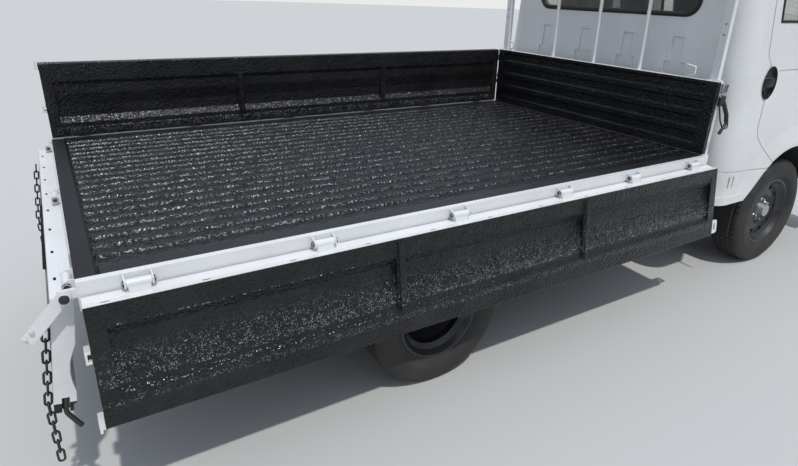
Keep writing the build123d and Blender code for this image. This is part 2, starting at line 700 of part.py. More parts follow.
def plan(z, rear, front, half, rear_corner, front_corner, bow):
    """Level outline of the cab or bumper: rounded corners and a bowed front."""
    corners = [(rear, -half, z), (rear, half, z)]
    front_y = [(front - bow, half, z), (front - bow, -half, z)]
    edges = [Line(corners[0], corners[1]), Line(corners[1], front_y[0]),
             ThreePointArc(front_y[0], (front, 0, z), front_y[1]), Line(front_y[1], corners[0])]
    face = make_face(edges)
    face = fillet(face.vertices().group_by(Axis.X)[0], rear_corner)
    return fillet(face.vertices().group_by(Axis.X)[-1], front_corner)


def cab_solid(inset):
    """Cab body set in by an even amount."""
    faces = []
    last = len(cab_sections) - roof_edges
    for i, (z, rear, back, tuck, rear_corner, front_corner, bow) in enumerate(cab_sections):
        half = cab_half - max(0, z - lean_z) * side_lean - tuck
        if z > door_top_z:
            half += (z - door_top_z) * side_lean
        level = z - inset if i >= last else z
        faces.append(plan(level, cab_x + rear + inset, nose_x - back - inset * screen_slant, half - inset,
                          rear_corner - inset, front_corner - inset, bow))
    return loft(faces, ruled=True)


# Flare round each wheel arch and the ledge of the sill behind it
flare = turned([(arch_r - past, cab_half - 40), (arch_r - past, cab_half + flare_out),
                (arch_r + 20, cab_half + flare_out), (arch_r + flare_w, cab_half - 1),
                (arch_r + flare_w, cab_half - 40)], arch_x, 0, front_tyre_r)
flare &= brick((cab_x, nose_x), (0, cab_half + past), (cab_low, belt_z))
ledge = cab_solid(-ledge_out) & brick((cab_x - past, arch_x), (-cab_half - past, cab_half + past),
                                      (cab_low, cab_low + ledge_h))
skin_out = cab_solid(0) + ledge + flare + flip(flare)
skin_mid = cab_solid(cab_skin)
skin_in = cab_solid(cab_wall)
door_skin = cab_solid(cab_skin - 5)
wide = 2 * cab_half        # cutters for the sides reach this far out


def on_side(points, low=300, high=wide):
    """Side outline, x from the rear wall, extruded through the left side."""
    return prism([(cab_x + x, z) for x, z in points], "y", low, high)


# Oval handle cup on the door's rear edge: x from the rear wall, z
handle_at = (249.0, 1131.0)
handle_w = 122.0
handle_h = 161.0
oval_rim = 7.0             # the shut line runs round the oval at this distance
cup_depth = 13.0
handle_x = cab_x + handle_at[0]


def oval(grow, low, high):
    """The handle's oval, grown, as a cutter through the left side between two distances."""
    face = Pos(handle_x, low, handle_at[1]) * Rot(90, 0, 0) * Ellipse(handle_w / 2 + grow, handle_h / 2 + grow)
    return extrude(face, amount=high - low, dir=(0, 1, 0))


def door_outline(grow, step=0.0):
    """Door shut line seen from the side, moved out by grow and in by the seal step."""
    g = grow - step
    edge = door_front + (hinge_gap if grow > 0 else 0)
    top = door_top_z - 12
    ahead = 985 - 2.5 * step
    return [(axle_in_cab + 250, door_foot_z - g), (edge, door_foot_z - g), (edge, belt_z - 120),
            (edge - 30, belt_z - 60), (ahead + g, top + g), (ahead - 15 + g, top + 12 + g),
            (door_rear + 60 - g, top + 12 + g), (door_rear - g, door_top_z - 60), (door_rear - g, 1275),
            (door_rear + 17 - g, 1246), (door_rear + 41 - g, 1217), (door_rear + 50 - g, lean_z),
            (door_rear + 58 - g, 905), (door_rear + 78 - g, 850), (door_rear + 134 - g, 803),
            (axle_in_cab - 254 - g, 690), (axle_in_cab - 200, 600)]


half_gap = door_gap / 2
arch_heel = [(arch_foot - past, cab_low - past), (arch_foot + 94, cab_low + 94), (arch_foot + 146, cab_low + 148),
             (axle_in_cab, 600), (axle_in_cab, cab_low - past)]
arch = rod_y(-wide, wide, arch_x, front_tyre_r, arch_r) + on_side(arch_heel, -wide, wide)
arch_grown = rod_y(-wide, wide, arch_x, front_tyre_r, arch_r + half_gap)
window = [(door_rear + 75, belt_z), (door_front - 190, belt_z), (865, door_top_z - 75),
          (door_rear + 105, door_top_z - 75), (door_rear + 75, door_top_z - 110)]
outer_layer = skin_out - skin_mid
inner_layer = skin_mid - skin_in
door = (skin_out - door_skin) & (on_side(door_outline(-half_gap)) + oval(oval_rim - half_gap, 300, wide))
door += (door_skin - skin_in) & on_side(door_outline(-half_gap, seal_step))
door = door - arch_grown - on_side(window)
door_pin = (cab_x + door_front, cab_half - hinge_depth)
hinge_r = 6.5
pin_r = 3.0
knuckle_h = 30.0
for z in door_hinge_z:
    door -= rod_z(z - knuckle_h - 6, z + knuckle_h + 6, *door_pin, hinge_r + 5)
    door += rod_z(z, z + knuckle_h, *door_pin, hinge_r)
    door += brick((door_pin[0] - 22, door_pin[0]), (door_pin[1] - hinge_r, door_pin[1]), (z, z + knuckle_h))
    door -= rod_z(z - 1, z + knuckle_h + 1, *door_pin, pin_r + bolt_clear)

# Cup and paddle of the handle
paddle_h = 46.0
cup = oval(0, cab_half - cup_depth, cab_half + past)
door -= cup
paddle = brick(about(handle_x, handle_w), (cab_half - cup_depth - 1, cab_half - 4), about(handle_at[1], paddle_h))
door += paddle & cup & cab_solid(2)

# Crease pressed into the door ahead of the handle, and the seam over the sill
crease_z = about(1183, 18)
crease_depth = 4.0
seam_points = [(-past, 684), (-past, 681), (arch_foot + 200, 655), (arch_foot + 200, 658)]
seam_depth = 3.0
door -= brick((handle_x + 70, cab_x + door_front - 60), (0, wide), crease_z) - cab_solid(crease_depth)
seam_cut = on_side(seam_points, -wide, wide) - cab_solid(seam_depth)

door_space = outer_layer & (on_side(door_outline(half_gap)) + oval(oval_rim + half_gap, 300, wide))
door_space += inner_layer & on_side(door_outline(half_gap, seal_step))
shell = outer_layer + inner_layer - door_space - flip(door_space)
shell = shell - arch - seam_cut
for z in door_hinge_z:
    pin = rod_z(z - knuckle_h, z - run_gap, *door_pin, hinge_r)
    pin += rod_z(z - knuckle_h, z + knuckle_h, *door_pin, pin_r)
    pin += brick((door_pin[0], door_pin[0] + hinge_gap + 2), (door_pin[1] - hinge_r, door_pin[1]),
                 (z - knuckle_h, z - run_gap))
    shell += pin
    shell += flip(pin)

rear_glass_cut = brick((cab_x - past, cab_x + 200), (-560, 560), (1440, 1760))
rear_glass_cut = fillet(rear_glass_cut.edges().filter_by(Axis.X), 70)
screen_points = [(-740, 1330), (740, 1330), (650, 1855), (-650, 1855)]
screen_cut = prism(screen_points, "x", cab_x + 795, nose_x + past)
grille_z = (740.0, 850.0)
lamp_z = (690.0, 890.0)
grille_cut = brick((nose_x - 135, nose_x + past), (-420, 420), grille_z)
lamp_cut = brick((nose_x - 285, nose_x + past), (500, cab_half + past), lamp_z)
shell -= brick((cab_x - past, cab_x + 150), (-600, 600), (0, frame_top))
shell -= brick((nose_x - 200, nose_x + past), (-600, 600), (0, frame_low + 10))
shell = shell - rear_glass_cut - screen_cut - grille_cut - lamp_cut - flip(lamp_cut)

# Pressed ribs of the rear wall: y, half width above, half width below
rib_top = 1330.0
rib_step = 1200.0
rib_depth = 7.0
for y in (-480, -160, 160, 480):
    for half, low, high in ((34, rib_step, rib_top), (62, frame_top + 90, rib_step)):
        shell -= brick((cab_x - 1, cab_x + rib_depth), about(y, 2 * half), (low, high))

# Two upright air slots low behind each door
slot_at = (118.0, 616.0)
slot_pitch = 36.0
slot_w = 11.0
slot_h = 64.0
for side in (-1, 1):
    for k in range(2):
        x = cab_x + slot_at[0] + k * slot_pitch - slot_pitch / 2
        shell -= brick(about(x, slot_w), on_side_of(side, cab_half - 12, cab_half + past), about(slot_at[1], slot_h))
parts["cab_shell"] = shell

glass_band = cab_solid(glass_in) - cab_solid(glass_in + glass_t)
parts["windscreen"] = glass_band & screen_cut
parts["rear_window"] = glass_band & rear_glass_cut
side_glass = glass_band & on_side(window)
parts["door_left"] = door
parts["door_right"] = flip(door)
parts["door_glass_left"] = side_glass
parts["door_glass_right"] = flip(side_glass)

# Cab floor, seats and controls
floor_t = 18.0
well_in = 432.0            # inner wall of the front wheel housings
well_t = 12.0
housing_r = arch_r + well_t
cab_y = cab_half - cab_wall
beyond = (cab_x - past, bumper_x + past)
floor_slab = brick((cab_x - past, nose_x - 175), (-wide, wide), (frame_top, frame_top + floor_t))
floor_pan = floor_slab & skin_in
for side in (-1, 1):
    y = on_side_of(side, well_in, cab_y)
    floor_pan -= rod_y(*y, arch_x, front_tyre_r, arch_r)
    house = rod_y(*y, arch_x, front_tyre_r, housing_r)
    house -= rod_y(y[0] - 1, y[1] + 1, arch_x, front_tyre_r, arch_r)
    house -= brick(beyond, (-wide, wide), (front_tyre_r - housing_r - past, frame_top - 190))
    wall = rod_y(*on_side_of(side, well_in, well_in - well_t), arch_x, front_tyre_r, housing_r)
    wall -= brick(beyond, (-wide, wide), (front_tyre_r - housing_r - past, frame_top))
    floor_pan += house
    floor_pan += wall
base_half = 320.0
base_wall = 15.0
base_x = (engine_x[0] - 40, engine_x[1] + 40)
base_room = ((base_x[0] + base_wall, base_x[1] - base_wall), (base_wall - base_half, base_half - base_wall))
floor_pan -= brick(*base_room, (frame_top - 1, frame_top + floor_t + 1))
for side in (-1, 1):
    door_room = on_side(door_outline(half_gap + 3, seal_step), cab_y - 6, wide)
    floor_pan -= door_room if side > 0 else flip(door_room)
parts["cab_floor"] = floor_pan
box_top = 915.0
base = brick(base_x, (-base_half, base_half), (frame_top + floor_t, box_top))
base -= brick(*base_room, (frame_top + floor_t - 1, box_top - 12))
parts["seat_base"] = base
seat_rear = front_axle_x - 400.0
seat_top = box_top + 120.0
seat_len = 550.0
back_h = 560.0
back_t = 110.0


def seat(y0, y1):
    """Cushion and reclined back between two sides."""
    cushion = brick((seat_rear, seat_rear + seat_len), (y0, y1), (box_top + run_gap, seat_top))
    foot = seat_top + run_gap
    back = prism([(seat_rear, foot), (seat_rear + back_t, foot), (seat_rear, seat_top + back_h),
                  (seat_rear - 90, seat_top + back_h), (seat_rear - 55, seat_top + back_h / 2)], "y", y0, y1)
    return cushion, back


seat_half = cab_y - 122
driver, pair_seat = seat(-seat_half, -180), seat(-160, seat_half)
parts["seat_cushions"] = together(driver[0], pair_seat[0])
parts["seat_backs"] = together(driver[1], pair_seat[1])
dash_x = nose_x - 555.0
dash_outline = [(0, 1000), (240, 960), (260, 1240), (120, 1260), (0, 1180)]
dash = prism([(dash_x + a, z) for a, z in dash_outline], "y", -cab_y + 4, cab_y - 4)
dash += brick((dash_x + 150, dash_x + 220), (-60, 60), (frame_top + floor_t, 980))
parts["dashboard"] = dash & cab_solid(cab_wall + 6)
wheel_at = (dash_x - 170, -0.507 * cab_half, 1190)
wheel_tilt = 42.0
wheel_r = 185.0
grip_r = 14.0
rim_section = Pos(wheel_r, 0, 0) * Rot(90, 0, 0) * RegularPolygon(grip_r, 8)
steer = revolve(rim_section, Axis.Z)
steer += Pos(0, 0, -10) * Cylinder(45, 30) + Pos(0, 0, -8) * Box(26, 2 * (wheel_r - 4), 12)
steer += Pos(0, 0, -140) * Cylinder(20, 260)
parts["steering_wheel"] = Pos(*wheel_at) * Rot(0, -wheel_tilt, 0) * steer - parts["dashboard"]

# Front end
bumper_wall = 60.0
bumper_half = cab_half - 2
bumper_rear = nose_x - 295


def bumper_block(inset, low, high):
    face = plan(low, bumper_rear - inset, bumper_x - inset, bumper_half - inset, 5, 200 - inset, 60)
    return extrude(face, amount=high - low, dir=(0, 0, 1))


bumper_top = bumper_z + bumper_h
bumper_full = bumper_block(0, bumper_z, bumper_top)
bumper = bumper_full - bumper_block(bumper_wall, bumper_z - 1, bumper_top - 40) - cab_solid(0)
intake = brick((bumper_x - 110, bumper_x + past), (-330, 330), (bumper_z + 45, bumper_z + 115))
bumper -= intake & (bumper_full - bumper_block(22, bumper_z, bumper_top))
for side in (-1, 1):
    bumper += brick((frame_to - 60, bumper_x - bumper_wall - 5), about(side * frame_half, 60),
                    (bumper_z + 60, frame_low))
parts["bumper"] = bumper
grille = (skin_out - cab_solid(30)) & grille_cut
slat_pitch = 28.0
for k in range(3):
    z = grille_z[0] + 17 + k * slat_pitch
    grille -= brick((nose_x - 40, nose_x + past), (-395, 395), (z, z + slat_pitch / 2)) - cab_solid(16)
parts["grille"] = grille
lamp = (skin_out - cab_solid(60)) & lamp_cut
parts["headlamps"] = together(lamp, flip(lamp))

# Door mirrors
mirror_z = belt_z + 120
mirror_x = cab_x + door_front - 120
mirror_reach = 172.0
mirror_w = 130.0
mirror_half = 150.0
mirror_out = cab_half + mirror_reach
stay_y = mirror_out - 100.0
stay_r = 12.0
mirror_y = (mirror_out - mirror_w, mirror_out)
mirror_case = brick(about(mirror_x, 80), mirror_y, about(mirror_z, 2 * mirror_half))
mirror_case = fillet(mirror_case.edges().filter_by(Axis.X), 30)
mirror_case += rod_y(cab_half - 30, stay_y, mirror_x, belt_z - 70, stay_r)
mirror_case += rod_z(belt_z - 70 - stay_r, mirror_z - mirror_half + 10, mirror_x, stay_y, stay_r)
mirror_case += rod_y(cab_half - 30, cab_half + 6, mirror_x, belt_z - 70, 26)
mirror_case -= cab_solid(0)
parts["mirror_left"] = mirror_case
parts["mirror_right"] = flip(mirror_case)

# Tail lamps, mudflaps, buffers
lamp_y = (560.0, 780.0)
tail = brick((bed_rear + 20, bed_rear + 75), lamp_y, (frame_low + 10, frame_top))
tail += brick((bed_rear + 10, bed_rear + 40), (640, 680), (frame_top, rail_z[0]))
parts["tail_lamps"] = together(tail, flip(tail))
flap_x = rear_axle_x - rear_tyre_r - 70
flap = brick((flap_x, flap_x + 8), (490, 830), (300, rail_z[0]))
parts["mudflaps"] = together(flap, flip(flap))
front_flap_x = cab_x + arch_foot - 18
front_flap = brick((front_flap_x, front_flap_x + 8), (560, cab_half - cab_skin), (270, cab_low))
parts["front_mudflaps"] = together(front_flap, flip(front_flap))
lean = radians(180 - open_angle)


def hanging_face(depth):
    """Y of the hanging side panel's outer skin, this far below the hinge axis."""
    return hinge_y - panel_past / cos(lean) + depth * tan(lean) - run_gap


rail_out = rail_in + rail_w
buffer_share = (0.107, 0.5, 0.893)     # of the rails' length
low, high = hinge_z - 62, hinge_z - 42
buffer = [(rail_out, low), (hanging_face(62), low), (hanging_face(42), high), (rail_out, high)]
buffers = []
for share in buffer_share:
    buffers.append(prism(buffer, "x", *about(bed_rear + share * rail_len, 40)))
buffers = together(*buffers)
parts["panel_buffers"] = together(buffers, flip(buffers))

# Latch lever at the right rear corner: a flat arm that slants down and back from its pivot
pivot = (bed_rear - 30, hinge_z - 7)
pivot_r = 7.0
lever_y = (-852.0, -844.0)
lever_w = 34.0
lever_slant = radians(47)
lever_len = (lever_reach + pivot[0] - bed_rear - lever_w / 2 * sin(lever_slant)) / cos(lever_slant)


def on_lever(along, across):
    """Point of the lever from its pivot: along the arm, and across it towards its upper edge."""
    return (pivot[0] - along * cos(lever_slant) - across * sin(lever_slant),
            pivot[1] - along * sin(lever_slant) + across * cos(lever_slant))


def lever_plate(along, across, y):
    """Flat piece of the lever between two limits each way."""
    corners = [on_lever(along[0], across[0]), on_lever(along[1], across[0]),
               on_lever(along[1], across[1]), on_lever(along[0], across[1])]
    return prism(corners, "y", *y)


lever = lever_plate((0, lever_len), about(0, lever_w), lever_y) + rod_y(*lever_y, *pivot, lever_w / 2)
lever -= rod_y(lever_y[0] - 8, lever_y[1] + 4, *pivot, pivot_r + bolt_clear)
for along in (lever_len - 10, lever_len - 36):
    lever += lever_plate(about(along, 8), (lever_w / 2 - 9, lever_w / 2), (lever_y[0] - 10, lever_y[1]))
parts["latch_lever"] = lever
bed_rails += brick((pivot[0] - 14, bed_rear), (lever_y[1] + 2, lever_y[1] + 10), about(pivot[1], 28))
bed_rails += rod_y(lever_y[0] - 8, lever_y[1] + 4, *pivot, pivot_r)
bed_rails += rod_y(lever_y[0] - 12, lever_y[0] - 1, *pivot, pivot_r + 4)
parts["bed_rails"] = bed_rails

# Chains of the tailgate: links lie turn and turn about along its inner face and hang past its edge
link_wire = 7.0
link_in = 34.0
link_w = 10.0
link_pitch = link_in - run_gap
link_count = 14
chain_y = 786.0
chain_from = 96.0          # first link below the hinge axis


def chain_link():
    """One flat link with cut corners standing in the YZ plane, its length along Z."""
    def ring(length, width):
        cut = width * 0.3
        a, b = length / 2, width / 2
        return Polyline((0, cut - b, -a), (0, b - cut, -a), (0, b, cut - a), (0, b, a - cut), (0, b - cut, a),
                        (0, cut - b, a), (0, -b, a - cut), (0, -b, cut - a), close=True)
    outer = make_face(ring(link_in + 2 * link_wire, link_w + 2 * link_wire))
    inner = make_face(ring(link_in, link_w))
    return extrude(outer - inner, amount=link_wire / 2, dir=(1, 0, 0), both=True)


def hanging_chain():
    """Links down the hanging tailgate's inner face, then straight down from its edge."""
    off = -face_in + link_w / 2 + link_wire + run_gap
    x = tail_axis_x - off * cos(lean) - chain_from * sin(lean)
    z = hinge_z + off * sin(lean) - chain_from * cos(lean)
    links = []
    for i in range(link_count):
        past_edge = chain_from + i * link_pitch > panel_foot + panel_h - link_in
        tilt = 0 if past_edge else 180 - open_angle
        step = radians(tilt)
        middle = (x - link_pitch / 2 * sin(step), -chain_y, z - link_pitch / 2 * cos(step))
        links.append(Pos(*middle) * Rot(0, tilt, 0) * Rot(0, 0, 90 * (i % 2)) * chain_link())
        x -= link_pitch * sin(step)
        z -= link_pitch * cos(step)
    return together(*links)


tail_chain = hanging_chain()
parts["tailgate_chains"] = together(tail_chain, flip(tail_chain))

for name, shape in parts.items():
    export_step(shape, f"parts/{name}.step")
    print(name, round(shape.volume / 1e6, 3), len(shape.solids()))
print("whole", Compound(children=list(parts.values())).bounding_box())
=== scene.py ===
# %% [markdown]
# # A dropside light truck, dressed around its CAD frame
# The CAD model gives every part its place. This lesson paints those parts, and builds in mesh code what CAD
# leaves out: tyre treads, padded seats, chain links, seals, lamps and bolts. Everything is in metres, +X is
# forward, +Y is the truck's left side and Z = 0 is the ground.

# %% Load the frame
from math import cos, pi, radians, sin

import bmesh
import bpy
from mathutils import Matrix, Vector
from mathutils.bvhtree import BVHTree


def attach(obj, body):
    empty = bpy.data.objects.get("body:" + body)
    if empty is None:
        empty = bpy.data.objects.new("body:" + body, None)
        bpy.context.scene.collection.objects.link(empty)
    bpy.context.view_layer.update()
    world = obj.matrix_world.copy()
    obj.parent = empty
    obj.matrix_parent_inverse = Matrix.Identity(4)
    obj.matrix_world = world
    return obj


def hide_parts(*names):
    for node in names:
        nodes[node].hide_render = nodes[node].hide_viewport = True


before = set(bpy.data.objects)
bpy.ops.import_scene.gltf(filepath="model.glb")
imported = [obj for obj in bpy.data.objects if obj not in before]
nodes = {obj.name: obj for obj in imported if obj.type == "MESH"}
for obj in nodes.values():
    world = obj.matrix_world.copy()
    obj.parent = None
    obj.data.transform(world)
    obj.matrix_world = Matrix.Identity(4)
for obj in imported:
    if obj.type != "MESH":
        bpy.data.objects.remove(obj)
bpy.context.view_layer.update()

# %% [markdown]
# ## Camera
# The photograph was taken standing behind the truck's right rear corner, looking forward and slightly down.
# These values were fitted to the corners of the load bed, which is surer than placing a camera by eye.

# %% Camera
scene = bpy.context.scene


def add_object(name, data):
    """Object that shows data, linked to the scene."""
    made = bpy.data.objects.new(name, data)
    scene.collection.objects.link(made)
    return made


camera = add_object("camera", bpy.data.cameras.new("camera"))
camera.location = (-2.2917, -2.3875, 1.5127)
camera.rotation_euler = [radians(v) for v in (68.161, -1.803, -31.79)]
camera.data.lens = 25.618
camera.data.shift_x, camera.data.shift_y = -0.0106, -0.01925
camera.data.clip_end = 200
scene.camera = camera
print("camera at", tuple(round(v, 2) for v in camera.location))

# %% [markdown]
# ## Node helpers
# A material is a graph of nodes. One helper adds a node, sets its options, and fills each input with a plain
# value or with another node's output. The arithmetic helpers find the graph from the sockets they are given.

# %% Helpers for shader nodes
def fill(tree, sockets, values):
    for key, value in values.items():
        if isinstance(value, bpy.types.NodeSocket):
            tree.links.new(value, sockets[key])
        else:
            sockets[key].default_value = value


def add_node(tree, kind, inputs=None, **options):
    made = tree.nodes.new("ShaderNode" + kind)
    for key, value in options.items():
        setattr(made, key, value)
    fill(tree, made.inputs, inputs or {})
    return made


def tree_of(*values):
    """The graph of the first socket among values."""
    return next(v.id_data for v in values if isinstance(v, bpy.types.NodeSocket))


def calc(kind, a, b=0.0, clamp=False):
    return add_node(tree_of(a, b), "Math", {0: a, 1: b}, operation=kind, use_clamp=clamp).outputs[0]


def times(a, b, clamp=False):
    return calc("MULTIPLY", a, b, clamp)


def plus(a, b, clamp=False):
    return calc("ADD", a, b, clamp)


def minus(a, b):
    return calc("SUBTRACT", a, b)


def larger(a, b):
    return calc("MAXIMUM", a, b)


def over(a, b):
    """1 where a is more than b, else 0."""
    return calc("GREATER_THAN", a, b)


def ramp(value, low, high, to_low=0.0, to_high=1.0):
    return add_node(tree_of(value), "MapRange", {"Value": value, "From Min": low, "From Max": high,
                                                 "To Min": to_low, "To Max": to_high}).outputs[0]


def vector_calc(kind, a, b, outlet=0):
    return add_node(tree_of(a, b), "VectorMath", {0: a, 1: b}, operation=kind).outputs[outlet]


def split(vector):
    return add_node(tree_of(vector), "SeparateXYZ", {0: vector}).outputs


def mix(factor, a, b):
    return add_node(tree_of(factor, a, b), "Mix", {0: factor, 6: a, 7: b}, data_type="RGBA").outputs[2]


def grey(level, tint=(1, 1, 1)):
    return (*(level * t for t in tint), 1)

# %% [markdown]
# ## Light and floor
# A studio for a vehicle needs one clear key light, a soft sky and a floor that takes the shadow. Sun lamps
# light all five metres alike. The world is what glossy black paint mirrors.

# %% Key light and sky
def sun(name, towards, strength, angle, colour):
    lamp = add_object(name, bpy.data.lights.new(name, "SUN"))
    lamp.rotation_euler = Vector(towards).to_track_quat("Z", "Y").to_euler()
    lamp.data.energy, lamp.data.angle, lamp.data.color = strength, radians(angle), colour
    return lamp


key_light = sun("key_light", (-0.03, -0.55, 1.0), 2.0, 1.5, (1.0, 0.985, 0.96))
sun("fill_light", (0.35, 0.75, 0.55), 0.2, 60, (0.95, 0.98, 1.0))

world = bpy.data.worlds.new("studio")
scene.world = world
world.use_nodes = True
sky = world.node_tree
rays = add_node(sky, "LightPath").outputs
up = split(add_node(sky, "TexCoord").outputs["Generated"])[2]
dome = mix(ramp(up, -0.1, 0.75), grey(0.29, (0.94, 0.98, 1.05)), grey(0.66, (0.86, 0.96, 1.12)))
mirrored = mix(ramp(up, 0.1, 0.7), grey(0.22), grey(0.78, (0.84, 0.95, 1.18)))
for ray, seen in (("Is Glossy Ray", mirrored), ("Is Transmission Ray", grey(0.8)), ("Is Camera Ray", grey(0.83))):
    dome = mix(rays[ray], dome, seen)
sky.links.new(dome, sky.nodes["Background"].inputs["Color"])
scene.view_settings.view_transform = "Standard"
print("key light from", [round(v, 2) for v in key_light.rotation_euler])

# %% Floor
def to_mesh(name, bm):
    """Mesh made from a bmesh, which is then freed."""
    mesh = bpy.data.meshes.new(name)
    bm.to_mesh(mesh)
    bm.free()
    return mesh


bm = bmesh.new()
bmesh.ops.create_circle(bm, cap_ends=True, segments=96, radius=60)
floor = add_object("floor", to_mesh("floor", bm))
floor_paint = bpy.data.materials.new("floor_paint")
floor_paint.use_nodes = True
fill(floor_paint.node_tree, floor_paint.node_tree.nodes["Principled BSDF"].inputs,
     {"Base Color": grey(0.56, (1.0, 1.0, 0.985)), "Roughness": 0.85, "Specular IOR Level": 0.15})
floor.data.materials.append(floor_paint)
print("floor painted with", floor_paint.name)

# %% [markdown]
# ## Finishes that several parts share
# Four node groups carry what is common: grime in large soft patches, wear along edges, the gloss enamel and the
# sprayed bed lining. A group gives only colours and masks; the shader stays in the material.

# %% Helpers for node groups
def new_group(name, inputs, outputs):
    """Group with its input and output sockets; an input's kind follows from its first value."""
    tree = bpy.data.node_groups.new(name, "ShaderNodeTree")
    for label, value in inputs.items():
        kind = "Float" if isinstance(value, float) else {3: "Vector", 4: "Color"}[len(value)]
        tree.interface.new_socket(label, in_out="INPUT", socket_type="NodeSocket" + kind).default_value = value
    for label, kind in outputs.items():
        tree.interface.new_socket(label, in_out="OUTPUT", socket_type="NodeSocket" + kind)
    print("group", name)
    return tree, tree.nodes.new("NodeGroupInput").outputs, tree.nodes.new("NodeGroupOutput").inputs


def use_group(tree, group, **inputs):
    made = add_node(tree, "Group")
    made.node_tree = group
    fill(tree, made.inputs, inputs)
    return made.outputs


def place(tree):
    return add_node(tree, "TexCoord").outputs["Object"]


def noise(tree, scale, detail=4.0, roughness=0.5, outlet="Fac"):
    return add_node(tree, "TexNoise", {"Vector": place(tree), "Scale": scale, "Detail": detail,
                                       "Roughness": roughness}).outputs[outlet]

# %% Grime: soft patches, and a film that grows toward the ground
grime, asks, gives = new_group("grime", dict(Patch=6.0, Amount=0.5, Low=0.9), dict(Mask="Float", Fine="Float"))
low_film = ramp(split(place(grime))[2], asks["Low"], 0.15)
mask = times(ramp(noise(grime, asks["Patch"], 6, 0.62), 0.38, 0.72), plus(low_film, 0.25))
fill(grime, gives, dict(Mask=times(mask, asks["Amount"], clamp=True), Fine=noise(grime, 160, 3)))

# %% Edge wear: where the shading normal of a rounded copy leaves the flat one
edge_wear, asks, gives = new_group("edge_wear", dict(Radius=0.003, Amount=0.5), dict(Mask="Float", Normal="Vector"))
rounded = add_node(edge_wear, "Bevel", {"Radius": asks["Radius"]}, samples=4).outputs[0]
flat = add_node(edge_wear, "NewGeometry").outputs["Normal"]
bend = ramp(vector_calc("DOT_PRODUCT", rounded, flat, "Value"), 0.97, 0.8)
broken = ramp(noise(edge_wear, 45, 5, 0.7), 0.42, 0.62)
fill(edge_wear, gives, dict(Mask=times(times(bend, broken), asks["Amount"], clamp=True), Normal=rounded))

# %% Gloss enamel
coat_outputs = dict(Colour="Color", Roughness="Float", Height="Float")
enamel, asks, gives = new_group("enamel", dict(Paint=grey(0.8)), coat_outputs)
film = use_group(enamel, grime, Patch=3.5, Amount=0.55, Low=0.95)
worn = use_group(enamel, edge_wear, Radius=0.003, Amount=0.35)
tone = mix(ramp(noise(enamel, 2.2, 3), 0.3, 0.7, 0.0, 0.06), asks["Paint"], grey(0.55))
tone = mix(film["Mask"], tone, grey(0.42, (1.0, 0.95, 0.86)))
tone = mix(worn["Mask"], tone, grey(0.36, (1.0, 0.97, 0.93)))
tone = mix(ramp(noise(enamel, 95, 2), 0.74, 0.8, 0.0, 0.35), tone, grey(0.4, (1.0, 0.93, 0.82)))
shine = plus(ramp(film["Fine"], 0.3, 0.7, 0.2, 0.3), times(film["Mask"], 0.5))
fill(enamel, gives, dict(Colour=tone, Roughness=shine, Height=noise(enamel, 210, 2)))

# %% Sprayed lining: drops that ran together, glossy on top, with painted glint speckles
lining, asks, gives = new_group("lining", dict(Scuff=0.0, Grain=(1.0, 1.0, 1.0)), coat_outputs)
warp = vector_calc("MULTIPLY", noise(lining, 60.0, 2.0, outlet="Color"), (0.012,) * 3)
bent_place = vector_calc("ADD", place(lining), warp)
drops = add_node(lining, "TexVoronoi", {"Vector": bent_place, "Scale": 105.0, "Smoothness": 0.55},
                 feature="SMOOTH_F1").outputs["Distance"]
rise = plus(times(drops, -1.0), times(noise(lining, 34, 3, 0.6), 1.3))
rise = plus(rise, times(noise(lining, 320, 2), 0.16))
dry = ramp(noise(lining, 5.5, 5, 0.6), 0.35, 0.75)
tone = mix(dry, grey(0.006, (0.95, 1.0, 1.1)), grey(0.013, (1.0, 1.0, 1.04)))
tone = mix(use_group(lining, grime, Patch=9.0, Amount=0.16, Low=2.0)["Mask"], tone, grey(0.05))
# Painted glints: small pale dots mixed into the black stand in for the sun's highlights on the drops.
glint_place = vector_calc("MULTIPLY", bent_place, asks["Grain"])
glint_dots = add_node(lining, "TexVoronoi", {"Vector": glint_place, "Scale": 150.0}, feature="F1").outputs["Distance"]
glint_dots = times(ramp(glint_dots, 0.4, 0.26), ramp(noise(lining, 48, 3, 0.7), 0.4, 0.58))
tone = mix(times(glint_dots, asks["Scuff"], clamp=True), tone, grey(0.6, (0.94, 0.98, 1.06)))
fill(lining, gives, dict(Colour=tone, Roughness=ramp(dry, 0.0, 1.0, 0.13, 0.24), Height=rise))

# %% [markdown]
# ## Painting the CAD parts
# Every material ends in the same way: a colour, a roughness and a height go into one Principled shader. Numbers
# that are the same all over the surface are set on the shader itself.

# %% Helpers for a finished material
def new_tree(name):
    material = bpy.data.materials.new(name)
    material.use_nodes = True
    return material.node_tree


def finish(name, colour, roughness, height=None, depth=0.001, normal=None, **fixed):
    """Plugs the last sockets of a material's own tree into its shader."""
    material = bpy.data.materials[name]
    tree = material.node_tree
    shader = tree.nodes["Principled BSDF"].inputs
    fill(tree, shader, {"Base Color": colour, "Roughness": roughness})
    fill(tree, shader, {key.replace("_", " "): value for key, value in fixed.items()})
    if height is not None:
        bump = add_node(tree, "Bump", {"Height": height, "Distance": depth})
        if normal is not None:
            tree.links.new(normal, bump.inputs["Normal"])
        tree.links.new(bump.outputs[0], shader["Normal"])
    return material


def paint(material, *names):
    for name in names:
        mesh = nodes[name].data
        mesh.materials.clear()
        mesh.materials.append(material)
    print(material.name, "on", *names)


def white_coat(tree):
    return use_group(tree, enamel, Paint=grey(0.78, (0.985, 1.0, 1.01)))


def soft_edges(tree, radius):
    return use_group(tree, edge_wear, Radius=radius, Amount=0.0)["Normal"]

# %% White enamel of the cab, rails, guard and brackets
tree = new_tree("white_enamel")
coat = white_coat(tree)
white_enamel = finish("white_enamel", coat["Colour"], coat["Roughness"], coat["Height"], 0.00025,
                      soft_edges(tree, 0.003), Coat_Weight=0.35, Coat_Roughness=0.08)
paint(white_enamel, "cab_shell", "door_left", "door_right", "bumper", "guard_frame", "latch_lever")
